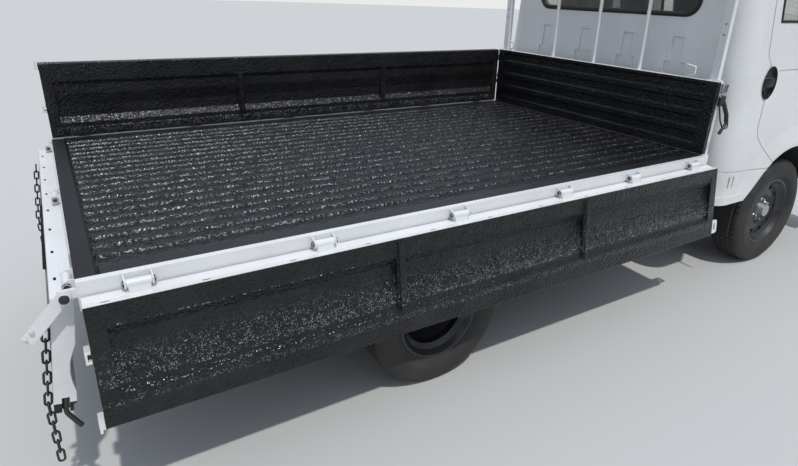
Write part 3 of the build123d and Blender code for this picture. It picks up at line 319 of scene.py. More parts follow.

# %% [markdown]
# The drop panels and the headboard are white steel whose inner side was sprayed black up to masking tape. A
# mask does that on one mesh. Its three axes are the panel's own, so a panel that hangs open uses the same group
# as one that stands.

# %% Mask for a sprayed panel, and the band where glints are painted
sprayed, asks, gives = new_group("sprayed", dict(
    Origin=(0, 0, 0), Along=(1, 0, 0), Out=(0, 1, 0), Up=(0, 0, 1), Length=2.79, Inner=-0.016, Foot=0.0275,
    Top=0.3815, Ceiling=9.0, Ends=0.0, Wrap=-9.0, Tape=0.004, Glint=(9, 9, 9)), dict(Mask="Float", Slope="Float"))
wander = vector_calc("SUBTRACT", noise(sprayed, 55.0, 3.0, outlet="Color"), (0.5,) * 3)
wander = vector_calc("MULTIPLY", wander, (0.006,) * 3)
spot = vector_calc("SUBTRACT", place(sprayed), asks["Origin"])


def panel_axes(point):
    return [vector_calc("DOT_PRODUCT", point, asks[k], "Value") for k in ("Along", "Out", "Up")]


along, _, up = panel_axes(spot)
soft_along, soft_out, soft_up = panel_axes(vector_calc("ADD", spot, wander))
far_end = minus(asks["Length"], along)
between = times(over(soft_along, asks["Tape"]), over(minus(asks["Length"], soft_along), asks["Tape"]))
face = times(larger(over(asks["Inner"], soft_out), over(soft_up, minus(asks["Top"], 0.004))), between)
end_plane = over(0.0009, calc("ABSOLUTE", calc("MINIMUM", along, far_end)))
band = larger(asks["Ends"], over(soft_up, minus(asks["Top"], 0.03)))
band = larger(band, over(asks["Wrap"], soft_out))
on_panel = times(over(along, -0.001), over(far_end, -0.001))
mask = times(larger(face, times(end_plane, band)), on_panel)
mask = times(mask, times(over(up, plus(asks["Foot"], 0.0012)), over(asks["Ceiling"], up)))
# The second output is a band of painted glints: where the panel's slope and one ridge line catch the sun, pale
# speckles are painted in.
glint_low, glint_high, glint_line = split(asks["Glint"])
slope_glints = times(ramp(soft_up, glint_low, glint_high), over(glint_high, soft_up))
line = ramp(calc("ABSOLUTE", minus(soft_up, glint_line)), 0.014, 0.004, 0.0, 0.55)
fill(sprayed, gives, dict(Mask=mask, Slope=larger(slope_glints, line)))

# %% Sprayed panels and headboard
lining_depth = 0.0034
hang = radians(172)
side_hinge_y, tail_hinge_x, hinge_z = 0.862, -2.339, 0.7605


def two_coats(mask, white, black):
    """Colour and roughness of black over white where mask is 1."""
    rough = plus(times(mask, black["Roughness"]), times(minus(1.0, mask), white["Roughness"]))
    return mix(mask, white["Colour"], black["Colour"]), rough


def sprayed_material(name, **mask_values):
    tree = new_tree(name)
    zones = use_group(tree, sprayed, **mask_values)
    # Painted glints: the glint band sets how many pale speckles are painted on the black, with a few everywhere.
    black = use_group(tree, lining, Scuff=ramp(zones["Slope"], 0.0, 1.0, 0.02, 0.62), Grain=(1.25,) * 3)
    height = times(zones["Mask"], plus(black["Height"], 0.6))
    return finish(name, *two_coats(zones["Mask"], white_coat(tree), black), height, lining_depth,
                  soft_edges(tree, 0.004), Specular_IOR_Level=0.36)


panels = {
    "side_panel_left": dict(Origin=(-2.314, side_hinge_y, hinge_z), Length=2.79, Ends=1.0, Tape=0.0,
                            Foot=-0.1, Glint=(0.03, 0.07, 9.0)),
    "side_panel_right": dict(Origin=(-2.314, -side_hinge_y, hinge_z), Length=2.79, Out=(0, -cos(hang), -sin(hang)),
                             Up=(0, -sin(hang), cos(hang)), Ends=1.0, Tape=0.0, Glint=(0.15, 0.268, 0.314)),
    "tailgate": dict(Origin=(tail_hinge_x, -0.816, hinge_z), Length=1.632, Along=(0, 1, 0),
                     Out=(-cos(hang), 0, -sin(hang)), Up=(-sin(hang), 0, cos(hang))),
    "headboard": dict(Origin=(0.473, -0.811, 0.783), Length=1.622, Along=(0, 1, 0), Out=(1, 0, 0),
                      Inner=0.015, Foot=0.0, Top=9.0, Ceiling=0.3622, Wrap=0.024, Tape=0.0),
}
for name, mask_values in panels.items():
    paint(sprayed_material(name + "_sprayed", **mask_values), name)

# %% Bed floor with painted glints along its ridges, and its smoother strip over the rear rail
rib_rear = -2.268
tree = new_tree("floor_lining")
x, y, z = split(place(tree))
ribs = ramp(x, rib_rear, rib_rear + 0.006)
border = ramp(calc("ABSOLUTE", y), 0.752, 0.764)
tilt_y = split(add_node(tree, "NewGeometry").outputs["Normal"])[1]
# Painted glints: pale speckles on the ridges' upper flanks that face -Y, strongest at the rear, stand in for the sun's
# highlights.
crest = times(ramp(z, 0.7735, 0.7765), ramp(tilt_y, -0.25, -0.45))
crest_glints = times(crest, ramp(x, 0.4, -2.2, 0.3, 1.0))
crest_glints = times(times(crest_glints, ribs), ramp(border, 0.0, 1.0, 1.0, 0.05))
black = use_group(tree, lining, Scuff=crest_glints, Grain=(0.75, 1.0, 1.0))
plain = larger(minus(1.0, ribs), times(border, 0.6))
colour = mix(plain, black["Colour"], mix(0.5, black["Colour"], grey(0.01)))
rough = plus(black["Roughness"], ramp(plain, 0.0, 1.0, 0.0, 0.42))
height = times(black["Height"], ramp(plain, 0.0, 1.0, 1.0, 0.12))
paint(finish("floor_lining", colour, rough, height, lining_depth, soft_edges(tree, 0.009), Specular_IOR_Level=0.36),
      "bed_floor")

# %% Bed rails: the spray ran over the left rail's top and under the headboard
tree = new_tree("rails_sprayed")
x, y, z = split(place(tree))
left_top = times(over(y, 0.7), over(0.8225, y))
front_top = times(over(x, 0.4), over(0.8, calc("ABSOLUTE", y)))
mask = times(times(larger(left_top, front_top), over(z, 0.74)), over(x, rib_rear))
# A few painted glints, pale speckles standing in for highlights, go on the black here too.
black = use_group(tree, lining, Scuff=0.04)
paint(finish("rails_sprayed", *two_coats(mask, white_coat(tree), black), times(mask, black["Height"]), lining_depth,
             soft_edges(tree, 0.003), Coat_Weight=0.3, Coat_Roughness=0.08), "bed_rails")

# %% [markdown]
# ## Finishes of the running gear
# Chassis parts are satin black under road dust, castings are dull and spotted with rust, and only the hubs and
# nuts shine. Rubber goes grey where it flexes.

# %% Dusty metals and rubbers
def dusty(name, paint_tone, dust_tone, amount, rough, patch=5.0, grain=180, depth=0.0004, wear_tone=None,
          radius=0.004, low=0.9, **fixed):
    """Material with grime, fine grain and worn edges over one base tone."""
    tree = new_tree(name)
    film = use_group(tree, grime, Patch=patch, Amount=amount, Low=low)
    edges = use_group(tree, edge_wear, Radius=radius, Amount=0.6 if wear_tone else 0.0)
    tone = mix(ramp(noise(tree, patch * 2.3, 4), 0.3, 0.7, 0.0, 0.35), paint_tone, dust_tone)
    tone = mix(film["Mask"], tone, dust_tone)
    if wear_tone:
        tone = mix(edges["Mask"], tone, wear_tone)
    shine = ramp(film["Fine"], 0.3, 0.7, rough - 0.05, rough + 0.08)
    return finish(name, tone, plus(shine, times(film["Mask"], 0.35), clamp=True), noise(tree, grain, 3), depth,
                  edges["Normal"], **fixed)


chassis_black = dusty("chassis_black", grey(0.018), grey(0.16, (1.0, 0.92, 0.8)), 0.55, 0.42, wear_tone=grey(0.1))
wheel_black = dusty("wheel_black", grey(0.007), grey(0.05, (1.0, 0.96, 0.9)), 0.3, 0.2, patch=8,
                    wear_tone=grey(0.05), Coat_Weight=0.4, Coat_Roughness=0.1)
cast_steel = dusty("cast_steel", grey(0.055, (1.05, 1.0, 0.95)), grey(0.12, (1.2, 0.85, 0.6)), 0.6, 0.5,
                   Metallic=0.6, depth=0.0008)
bare_steel = dusty("bare_steel", grey(0.42, (1.0, 0.99, 0.97)), grey(0.2, (1.1, 0.95, 0.8)), 0.35, 0.28,
                   Metallic=0.9, radius=0.002)
black_steel = dusty("black_steel", grey(0.035), grey(0.11, (1.35, 0.8, 0.5)), 0.5, 0.38, patch=14, Metallic=0.6,
                    wear_tone=grey(0.22), radius=0.002)
black_plastic = dusty("black_plastic", grey(0.022), grey(0.09), 0.25, 0.42, grain=420, depth=0.0003)
gloss_black = dusty("gloss_black", grey(0.006), grey(0.03), 0.1, 0.22, grain=420, depth=0.0001,
                    Specular_IOR_Level=0.12)
strap_black = dusty("strap_black", grey(0.007), grey(0.03), 0.15, 0.4, grain=300, depth=0.0003)
black_rubber = dusty("black_rubber", grey(0.016), grey(0.09), 0.3, 0.55, grain=300, depth=0.0003)
tyre_rubber = dusty("tyre_rubber", grey(0.014), grey(0.055, (1.0, 0.96, 0.88)), 0.65, 0.62, patch=7, grain=260,
                    wear_tone=grey(0.045), radius=0.002, low=0.75)
paint(chassis_black, "bed_bearers", "chassis_frame", "front_suspension", "leaf_springs", "propshaft", "fuel_tank",
      "cab_floor")
paint(cast_steel, "knuckle_left", "knuckle_right", "rear_axle", "engine_block")
paint(wheel_black, "rim_front_left", "rim_front_right", "rims_rear_left", "rims_rear_right", "spare_rim")
paint(bare_steel, "hub_front_left", "hub_front_right", "exhaust")
paint(black_steel, "latch_rods")
paint(black_plastic, "battery_box", "seat_base", "dashboard", "steering_wheel", "grille", "mirror_left",
      "mirror_right")
paint(black_rubber, "mudflaps", "front_mudflaps", "panel_buffers")

# %% [markdown]
# ## Glass and lenses
# Windows and lenses are plain glass: full transmission, a tint, and a little uneven haze in the roughness.

# %% Glass
def glassy(name, tint, haze):
    haziness = ramp(noise(new_tree(name), 3.0, 5, 0.6), 0.35, 0.8, 0.0, haze)
    return finish(name, tint, haziness, Transmission_Weight=1.0)


window_glass = glassy("window_glass", grey(0.62, (0.9, 1.0, 0.97)), 0.06)
clear_lens = glassy("clear_lens", grey(0.95), 0.05)
red_lens = glassy("red_lens", (0.75, 0.02, 0.015, 1), 0.2)
amber_lens = glassy("amber_lens", (0.95, 0.33, 0.02, 1), 0.2)
paint(window_glass, "windscreen", "rear_window", "door_glass_left", "door_glass_right")
silver_haze = ramp(noise(new_tree("mirror_silver"), 6.0), 0.3, 0.8, 0.01, 0.05)
mirror_silver = finish("mirror_silver", grey(0.85), silver_haze, Metallic=1.0)

# %% [markdown]
# ## Mesh helpers
# Most hardware is a box with softened edges, a turned ring or a round bar. Each helper adds one such shape to a
# bmesh that is open, so a piece can be made of many. The last helpers give the finished mesh its material and
# the CAD body that it rides on.

# %% Helpers for adding shapes
def soften(bm, edges, width, segments, clamp=False):
    bmesh.ops.bevel(bm, geom=edges, offset=width, offset_type="OFFSET", segments=segments, profile=0.5,
                    affect="EDGES", material=-1, clamp_overlap=clamp)


def edges_at(verts):
    """The edges at verts, each once and in the same order every run."""
    return list(dict.fromkeys(e for v in verts for e in v.link_edges))


def add_boxes(bm, *rows):
    """Boxes from rows of (low corner, high corner, edge rounding, rounding segments)."""
    for low, high, *rounding in rows:
        made = bmesh.ops.create_cube(bm, size=1.0)["verts"]
        low, high = Vector(low), Vector(high)
        bmesh.ops.scale(bm, vec=high - low, verts=made)
        bmesh.ops.translate(bm, vec=(low + high) / 2, verts=made)
        if rounding:
            soften(bm, edges_at(made), rounding[0], (*rounding, 2)[1], clamp=True)


def add_rods(bm, *rows):
    """Bars from rows of (start, end, radius or pair of radii, sides, edge rounding)."""
    for start, end, radius, *rest in rows:
        segments, soft = (*rest, 0)[:2] if rest else (16, 0)
        first, last = radius if isinstance(radius, tuple) else (radius, radius)
        start, end = Vector(start), Vector(end)
        turn = (end - start).to_track_quat("Z", "Y").to_matrix().to_4x4()
        made = bmesh.ops.create_cone(bm, cap_ends=True, segments=segments, radius1=first, radius2=last,
                                     depth=(end - start).length,
                                     matrix=Matrix.Translation((start + end) / 2) @ turn)["verts"]
        if soft:
            caps = [e for e in edges_at(made) if any(len(f.verts) == segments for f in e.link_faces)]
            soften(bm, caps, soft, 2)


def add_turned(bm, profile, centre, steps=64, axis=(0, 1, 0), closed=True):
    """Spins a profile of (radius, distance along the axis) pairs about an axis through centre."""
    axis = Vector(axis)
    side = Vector((1, 0, 0)) if abs(axis.x) < 0.5 else Vector((0, 0, 1))
    verts = [bm.verts.new(Vector(centre) + side * r + axis * y) for r, y in profile]
    pairs = list(zip(verts, verts[1:])) + ([(verts[-1], verts[0])] if closed else [])
    edges = [bm.edges.new(p) for p in pairs]
    bmesh.ops.spin(bm, geom=verts + edges, cent=centre, axis=axis, angle=2 * pi, steps=steps, use_merge=True)


def add_tube(bm, points, radius, cyclic=False, sides=2, smooth=False):
    """Round bar along points, made by a bevelled curve. sides is the curve's bevel resolution."""
    data = bpy.data.curves.new("bar", "CURVE")
    data.dimensions, data.bevel_depth, data.bevel_resolution = "3D", radius, sides
    data.use_fill_caps = not cyclic
    line = data.splines.new("NURBS" if smooth else "POLY")
    line.points.add(len(points) - 1)
    for point, at in zip(line.points, points):
        point.co = (*at, 1)
    line.use_cyclic_u = cyclic
    if smooth:
        line.order_u, line.use_endpoint_u, data.resolution_u = 3, not cyclic, 6
    curve = add_object("bar", data)
    mesh = bpy.data.meshes.new_from_object(curve)
    bm.from_mesh(mesh)
    bpy.data.objects.remove(curve)
    bpy.data.meshes.remove(mesh)


def circle(count, radius_a, radius_b):
    """Pairs of offsets round an ellipse."""
    turns = [2 * pi * k / count for k in range(count)]
    return [(radius_a * cos(a), radius_b * sin(a)) for a in turns]


def flipped(bm):
    """A copy of an open bmesh on the other side of the truck."""
    other = bm.copy()
    bmesh.ops.scale(other, vec=(1, -1, 1), verts=other.verts)
    bmesh.ops.reverse_faces(other, faces=other.faces)
    return other


def joined(*parts):
    """One bmesh out of several."""
    whole = bmesh.new()
    for part in parts:
        mesh = to_mesh("part", part)
        whole.from_mesh(mesh)
        bpy.data.meshes.remove(mesh)
    return whole


def both_sides(bm):
    return joined(bm, flipped(bm))


def new_piece(name, bm, material, body="chassis", replaces=(), sharp=35, mend=True):
    """Piece with its material in its slot."""
    if mend:
        bmesh.ops.remove_doubles(bm, verts=bm.verts, dist=1e-5)
        bmesh.ops.recalc_face_normals(bm, faces=bm.faces)
    mesh = to_mesh(name, bm)
    mesh.shade_smooth()
    mesh.set_sharp_from_angle(angle=radians(sharp))
    mesh.materials.append(material)
    piece = add_object(name, mesh)
    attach(piece, body)
    if replaces:
        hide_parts(*replaces)
    print(name, len(mesh.polygons), "faces on", body)


def door_pieces(name, bm, material, **options):
    """A piece on the left door, and its mirror image on the right door."""
    for side, half in (("left", bm), ("right", flipped(bm))):
        new_piece(name + side, half, material, "door_" + side, **options)


sides = ((1, "left"), (-1, "right"))

# %% [markdown]
# ## Tyres
# A road tyre is a closed ring: beads on the rim, bulging walls and a tread of ribs with long grooves and short
# cross cuts. One pitch of the tread is spun in two steps, a thin one for the cut and a wide one for the block,
# and the pitch is then repeated round the wheel.

# %% Tyre builder
def add_tyre(bm, radius, bead, width, centre, pitches=58, lying=False):
    half, deep, groove, origin, axle = width / 2, 0.007, 0.0036, (0, 0, 0), (0, 1, 0)
    wall = [(bead, 0.78), (bead + 0.004, 0.84), (bead + 0.012, 0.86), (bead + 0.018, 0.93), (bead + 0.034, 0.985),
            (radius - 0.062, 1.0), (radius - 0.06, 0.985), (radius - 0.034, 0.965), (radius - 0.02, 0.9),
            (radius - 0.009, 0.82), (radius - 0.0035, 0.72)]
    crown = []
    for middle in (0.5, 0.17, -0.17, -0.5):
        top = radius - 0.003 * abs(middle)
        y = middle * half
        crown += [(top, y + groove), (top - deep, y + groove * 0.6), (top - deep, y - groove * 0.6), (top, y - groove)]
    profile = [(r, y * half) for r, y in wall] + crown + [(r, -y * half) for r, y in reversed(wall)]
    verts = [bm.verts.new((r, y, 0)) for r, y in profile]
    edges = [bm.edges.new(p) for p in zip(verts, verts[1:] + verts[:1])]
    pitch = 2 * pi / pitches
    cut_angle = pitch * 0.16
    first = bmesh.ops.spin(bm, geom=verts + edges, cent=origin, axis=axle, angle=cut_angle, steps=1)
    near_top, tread_half = radius - 0.0065, 0.8 * half
    cuts = [f for f in bm.faces if all(Vector((v.co.x, v.co.z)).length > near_top for v in f.verts)
            and abs(f.calc_center_median().y) < tread_half and f.calc_area() > 1e-7
            and max(v.co.y for v in f.verts) - min(v.co.y for v in f.verts) > 0.0075]
    bmesh.ops.spin(bm, geom=first["geom_last"], cent=origin, axis=axle, angle=pitch - cut_angle, steps=2)
    for face in bmesh.ops.extrude_discrete_faces(bm, faces=cuts)["faces"]:
        for v in face.verts:
            v.co -= Vector((v.co.x, 0, v.co.z)).normalized() * deep * 0.7
    bmesh.ops.spin(bm, geom=list(bm.verts) + list(bm.edges) + list(bm.faces), cent=origin, axis=axle,
                   angle=pitch * (pitches - 1), steps=pitches - 1, use_duplicate=True)
    bmesh.ops.remove_doubles(bm, verts=bm.verts, dist=1e-5)
    if lying:
        bmesh.ops.rotate(bm, cent=origin, matrix=Matrix.Rotation(pi / 2, 3, "X"), verts=bm.verts)
    bmesh.ops.translate(bm, vec=centre, verts=bm.verts)

# %% All seven tyres
front_x, front_y, front_r = 1.317, 0.738, 0.327
rear_x, rear_y, rear_r, twin = -1.113, 0.744, 0.298, 0.182
rear_bead, rear_width, rear_pitches = 0.1822, 0.152, 54
for side, name in sides:
    bm = bmesh.new()
    add_tyre(bm, front_r, 0.2032, 0.186, (front_x, side * front_y, front_r))
    new_piece("tyre_tread_front_" + name, bm, tyre_rubber, "wheel_front_" + name, ["tyre_front_" + name])
    pair = [bmesh.new(), bmesh.new()]
    for k, bm in enumerate(pair):
        add_tyre(bm, rear_r, rear_bead, rear_width, (rear_x, side * (rear_y - k * twin), rear_r), rear_pitches)
    new_piece("tyre_treads_rear_" + name, joined(*pair), tyre_rubber, "wheels_rear_" + name, ["tyres_rear_" + name])
bm = bmesh.new()
add_tyre(bm, rear_r, rear_bead, rear_width, (-1.889, 0, 0.454), rear_pitches, lying=True)
new_piece("tyre_tread_spare", bm, tyre_rubber, replaces=["spare_tyre"])

# %% [markdown]
# ## Wheel nuts
# Six nuts with cone seats hold each wheel. A nut is a six-sided rod with its outer edge chamfered, on a round
# skirt, with the stud's end standing out of it.

# %% Nuts on the four wheel ends
def add_nuts(bm, x, y, z, side, at, nut=0.0095, count=6):
    for k in range(count):
        a = 2 * pi * (k + 0.5) / count
        for start, end, *shape in ((0, 0.005, (nut + 0.003, nut)), (0.004, 0.017, nut, 6, 0.0015),
                                   (0.016, 0.021, 0.0055, 10, 0.001)):
            ends = [(x + at * cos(a), y + side * out, z + at * sin(a)) for out in (start, end)]
            add_rods(bm, (*ends, *shape))


for side, name in sides:
    bm = bmesh.new()
    add_nuts(bm, front_x, side * 0.765, front_r, side, 0.061)
    new_piece("wheel_nuts_front_" + name, bm, bare_steel, "wheel_front_" + name)
    bm = bmesh.new()
    add_nuts(bm, rear_x, side * 0.66, rear_r, side, 0.062)
    new_piece("wheel_nuts_rear_" + name, bm, bare_steel, "wheels_rear_" + name)

# %% [markdown]
# ## Chains of the tailgate
# The links are bent from round bar, each a quarter turn from the last. The CAD links are flat plates with the
# same pitch, so round ones go exactly in their places: down the hanging tailgate, then straight down.

# %% Round links
wire, pitch, half_width, half_length = 0.0033, 0.0337, 0.0085, 0.0205
chain_off, chain_start, chain_bend = 0.0523, 0.096, 0.3475
lean = pi - hang
link_x = tail_hinge_x - chain_off * cos(lean) - chain_start * sin(lean)
link_z = hinge_z + chain_off * sin(lean) - chain_start * cos(lean)
bm = bmesh.new()
for k in range(14):
    tilt = 0.0 if chain_start + k * pitch > chain_bend else lean
    middle = Vector((link_x - pitch / 2 * sin(tilt), -0.786, link_z - pitch / 2 * cos(tilt)))
    straight = half_length - half_width
    loop = [Vector((0, y, z + (straight if j <= 10 else -straight)))
            for j, (y, z) in enumerate(circle(20, half_width, half_width))]
    turn = Matrix.Rotation(tilt, 3, "Y") @ Matrix.Rotation(pi / 2 * (k % 2), 3, "Z")
    add_tube(bm, [middle + turn @ p for p in loop], wire, cyclic=True)
    link_x -= pitch * sin(tilt)
    link_z -= pitch * cos(tilt)
new_piece("tailgate_chain_links", both_sides(bm), black_steel, "tailgate", ["tailgate_chains"], 60)

# %% [markdown]
# ## Hinge bolts
# Each hinge of the bed turns on a bolt whose round head shows dark against the white ears. The CAD bolts are
# hexagons; a domed cap over each gives the rounder head of the real ones.

# %% Bolt caps
def add_dome(bm, base, towards, radius=0.0102, height=0.0062):
    base, towards = Vector(base), Vector(towards)
    add_rods(bm, (base, base + towards * height * 0.55, radius, 20),
             (base + towards * height * 0.5, base + towards * height, (radius * 0.97, radius * 0.55), 20))


bm = bmesh.new()
cap_from = 0.0378
for at in (0.147, 0.6902, 1.2278, 1.7696, 2.2092, 2.6544):
    for y in (side_hinge_y, -side_hinge_y):
        for end in (-1, 1):
            add_dome(bm, (-2.319 + at + end * cap_from, y, hinge_z), (end, 0, 0))
for at in (-0.77, -0.027, 0.77):
    for end in (-1, 1):
        add_dome(bm, (tail_hinge_x, at + end * cap_from, hinge_z), (0, end, 0))
add_dome(bm, (-2.349, -0.864, 0.7535), (0, -1, 0), 0.0125, 0.007)
new_piece("hinge_bolt_caps", bm, black_steel)

# %% [markdown]
# ## Window seals
# Every pane sits in a black rubber seal, a round bar swept along the pane's own outer edge. The edge is found
# by keeping only the faces that look outward on a merged copy of the pane, and walking along the border that is
# left.

# %% Helpers that walk round a pane
def node_copy(name):
    bm = bmesh.new()
    bm.from_mesh(nodes[name].data)
    return bm


def outer_skin(name, facing, limit=0.35):
    """Merged copy of a CAD node with only the faces that look the way of facing."""
    bm = node_copy(name)
    bmesh.ops.remove_doubles(bm, verts=bm.verts, dist=1e-5)
    away = [f for f in bm.faces if f.normal.dot(Vector(facing)) < limit]
    bmesh.ops.delete(bm, geom=away, context="FACES")
    return bm


def border_loops(bm):
    """Points along each border, walked in the same order every run."""
    rim = dict.fromkeys(e for e in bm.edges if len(e.link_faces) == 1)
    loops = []
    while rim:
        edge = next(iter(rim))
        loop = [edge.verts[0]]
        while edge:
            del rim[edge]
            loop.append(edge.other_vert(loop[-1]))
            edge = next((e for e in loop[-1].link_edges if e in rim), None)
        loops.append([v.co.copy() for v in loop[:-1]])
    return loops


def thinned(loop, step):
    """The same line with points no closer than step."""
    kept = [loop[0]]
    for point in loop[1:]:
        if (point - kept[-1]).length > step:
            kept.append(point)
    if (kept[-1] - kept[0]).length < step:
        kept.pop()
    return kept


def window_seal(name, pane, facing, body="chassis", radius=0.011, push=0.003):
    skin = outer_skin(pane, facing)
    loop = max(border_loops(skin), key=lambda p: sum((a - b).length for a, b in zip(p, p[1:])))
    skin.free()
    bm = bmesh.new()
    shift = Vector(facing).normalized() * push
    add_tube(bm, [p + shift for p in thinned(loop, 0.008)], radius, cyclic=True)
    new_piece(name, bm, black_rubber, body, sharp=60)


window_seal("windscreen_seal", "windscreen", (0.8, 0, 0.6))
window_seal("rear_window_seal", "rear_window", (-1, 0, 0), radius=0.014)
for side, name in sides:
    window_seal("door_window_seal_" + name, "door_glass_" + name, (0, side, 0.1), "door_" + name)

# %% [markdown]
# ## Wipers
# Two arms rest on the screen, parked low. Their points are cast back onto the pane, and the blade follows them
# a little above the glass.

# %% Wiper arms and blades
def surface(name):
    bm = node_copy(name)
    tree = BVHTree.FromBMesh(bm)
    bm.free()
    return tree


screen, shell = surface("windscreen"), surface("cab_shell")


def on_nose(y, z, lift):
    """Point of the screen or nose at this y and z, lifted off it."""
    hits = [tree.ray_cast(Vector((3.0, y, z)), Vector((-1, 0, 0))) for tree in (screen, shell)]
    spot, normal = max((h for h in hits if h[0] is not None), key=lambda h: h[0].x)[:2]
    return spot + (-normal if normal.x < 0 else normal) * lift


bm = bmesh.new()
pivot_z, blade_z = 1.3, 1.352
for pivot_y, span in ((-0.1, 0.52), (0.56, 0.5)):
    add_rods(bm, (on_nose(pivot_y, pivot_z, -0.004), on_nose(pivot_y, pivot_z, 0.022), (0.014, 0.011), 20, 0.002))
    add_tube(bm, [on_nose(pivot_y, pivot_z, 0.012), on_nose(pivot_y - 0.06, pivot_z + 0.015, 0.03),
                  on_nose(pivot_y - span * 0.3, blade_z, 0.032), on_nose(pivot_y - span * 0.52, 1.372, 0.02)], 0.0055)
    blade = [on_nose(pivot_y - span * t, blade_z + 0.04 * t, 0.01) for t in (0.02, 0.2, 0.4, 0.6, 0.8, 1.0)]
    add_tube(bm, blade, 0.005, sides=1)
    add_tube(bm, [p + Vector((0.006, 0, 0.006)) for p in blade[1:5]], 0.0045, sides=1)
new_piece("wipers", bm, black_plastic, sharp=50)

# %% [markdown]
# ## Door handles
# In the photograph the door handle is a large dark oval: a black cup let into the door with a flap across it.
# The CAD door has the hollow; this piece lines it with a turned bowl, a raised lip, the flap and a lock.

# %% Oval handle cups
handle_at = (0.835, 0.868, 1.131)
bowl = [(0.0005, -0.0122), (0.04, -0.012), (0.053, -0.0098), (0.058, -0.0045), (0.0604, 0.0006), (0.062, 0.0022),
        (0.0632, 0.001), (0.0626, -0.0015), (0.0606, -0.004), (0.059, -0.0112), (0.04, -0.0129), (0.0005, -0.013)]
bm, flap = bmesh.new(), bmesh.new()
add_turned(bm, bowl, (0, 0, 0))
bmesh.ops.scale(bm, vec=(1, 1, 1.32), verts=bm.verts)
add_boxes(flap, ((-0.0572, -0.006, -0.024), (0.0572, -0.0005, 0.024), 0.005, 3))
add_rods(flap, ((-0.02, -0.006, -0.052), (-0.02, -0.001, -0.052), 0.0105, 24, 0.0008))
bm = joined(bm, flap)
bmesh.ops.translate(bm, vec=handle_at, verts=bm.verts)
door_pieces("door_handle_", bm, gloss_black)

# %% [markdown]
# ## Mirrors
# The mirror case is a CAD part. The glass on its rear face is a thin plate with round corners, set in a lip.

# %% Mirror glasses
bm = bmesh.new()
add_boxes(bm, ((1.752, 0.923, 1.41), (1.759, 1.027, 1.68)))
corners = [e for e in bm.edges if abs((e.verts[0].co - e.verts[1].co).normalized().x) > 0.9]
soften(bm, corners, 0.022, 6)
door_pieces("mirror_glass_", bm, mirror_silver)

# %% [markdown]
# ## Headlamps
# A lamp is a clear cover in the shape of the bodywork over a dark bowl with a bright reflector. The cover is
# the outer skin of the CAD lamp, given a few millimetres of thickness inward. The bowl is the same skin pushed
# back, and the amber flasher is a part of it just behind the cover.

# %% Covers, bowls and reflectors
def skin_shell(name, facing, keep, back, thickness, cut=None):
    """Outer skin of a node, on the side where keep is true, moved in by back and thickened inward."""
    bm = outer_skin(name, facing, 0.3)
    bmesh.ops.delete(bm, geom=[f for f in bm.faces if not keep(f)], context="FACES")
    if cut:
        bmesh.ops.bisect_plane(bm, geom=bm.verts[:] + bm.edges[:] + bm.faces[:], plane_co=(0, cut, 0),
                               plane_no=(0, cut, 0), clear_inner=True)
    bmesh.ops.recalc_face_normals(bm, faces=bm.faces)
    if sum(f.normal.dot(Vector(facing)) for f in bm.faces) < 0:
        bmesh.ops.reverse_faces(bm, faces=bm.faces)
    for v in bm.verts:
        v.co -= v.normal * back
    bmesh.ops.solidify(bm, geom=bm.faces, thickness=thickness)
    return bm


dish_line = [(0.082, 0), (0.079, -0.004), (0.066, -0.014), (0.045, -0.023), (0.018, -0.028), (0.016, -0.031),
             (0.046, -0.027), (0.069, -0.017), (0.083, -0.004)]
bulb_line = [(0.0005, -0.006), (0.01, -0.009), (0.013, -0.016), (0.013, -0.03), (0.0005, -0.03)]
for side, name in sides:
    def outward(face):
        return face.calc_center_median().y * side > 0 and abs(face.normal.z) < 0.5
    for piece, material, *shape in (("headlamp_cover_", clear_lens, 0.0005, 0.004),
                                    ("headlamp_bowl_", black_plastic, 0.048, 0.004),
                                    ("front_flasher_", amber_lens, 0.0075, 0.003, side * 0.752)):
        bm = skin_shell("headlamps", (1, side * 0.55, 0), outward, *shape)
        replaces = ["headlamps"] if piece + name == "headlamp_cover_left" else ()
        new_piece(piece + name, bm, material, replaces=replaces, mend=False)
    dish, dish_at = bmesh.new(), (2.369, side * 0.612, 0.79)
    add_turned(dish, dish_line, dish_at, 48, (1, 0, 0))
    add_turned(dish, bulb_line, dish_at, 24, (1, 0, 0), closed=False)
    new_piece("headlamp_dish_" + name, dish, mirror_silver)

# %% [markdown]
# ## Tail lamps
# Under the bed hang two plain lamp units. A unit is a black tray with a raised lip, and in it three coloured
# lenses side by side: amber, red and clear. Each lens is a shallow tray of its own with fine upright ribs.

# %% Trays and lenses
lamp_rear, lamp_low, lamp_high = -2.2985, 0.5625, 0.6615
trays = bmesh.new()
add_boxes(trays, ((lamp_rear + 0.012, 0.5605, lamp_low), (-2.2445, 0.7795, lamp_high), 0.01, 3))
face = max((f for f in trays.faces if f.normal.x < -0.9), key=lambda f: f.calc_area())
bmesh.ops.inset_individual(trays, faces=[face], thickness=0.006)
bmesh.ops.translate(trays, vec=(0.006, 0, 0), verts=list(face.verts))
add_boxes(trays, ((-2.3085, 0.6405, 0.652), (-2.2795, 0.6795, 0.6975), 0.003))
add_rods(trays, *(((-2.3085, y, 0.684), (-2.3125, y, 0.684), 0.0065, 6, 0.001) for y in (0.65, 0.67)))
add_tube(trays, [(-2.246, 0.67, 0.64), (-2.225, 0.66, 0.662), (-2.215, 0.6, 0.68), (-2.21, 0.5, 0.684),
                 (-2.205, 0.395, 0.65)], 0.006, smooth=True)
new_piece("tail_lamp_trays", both_sides(trays), black_plastic, replaces=["tail_lamps"])
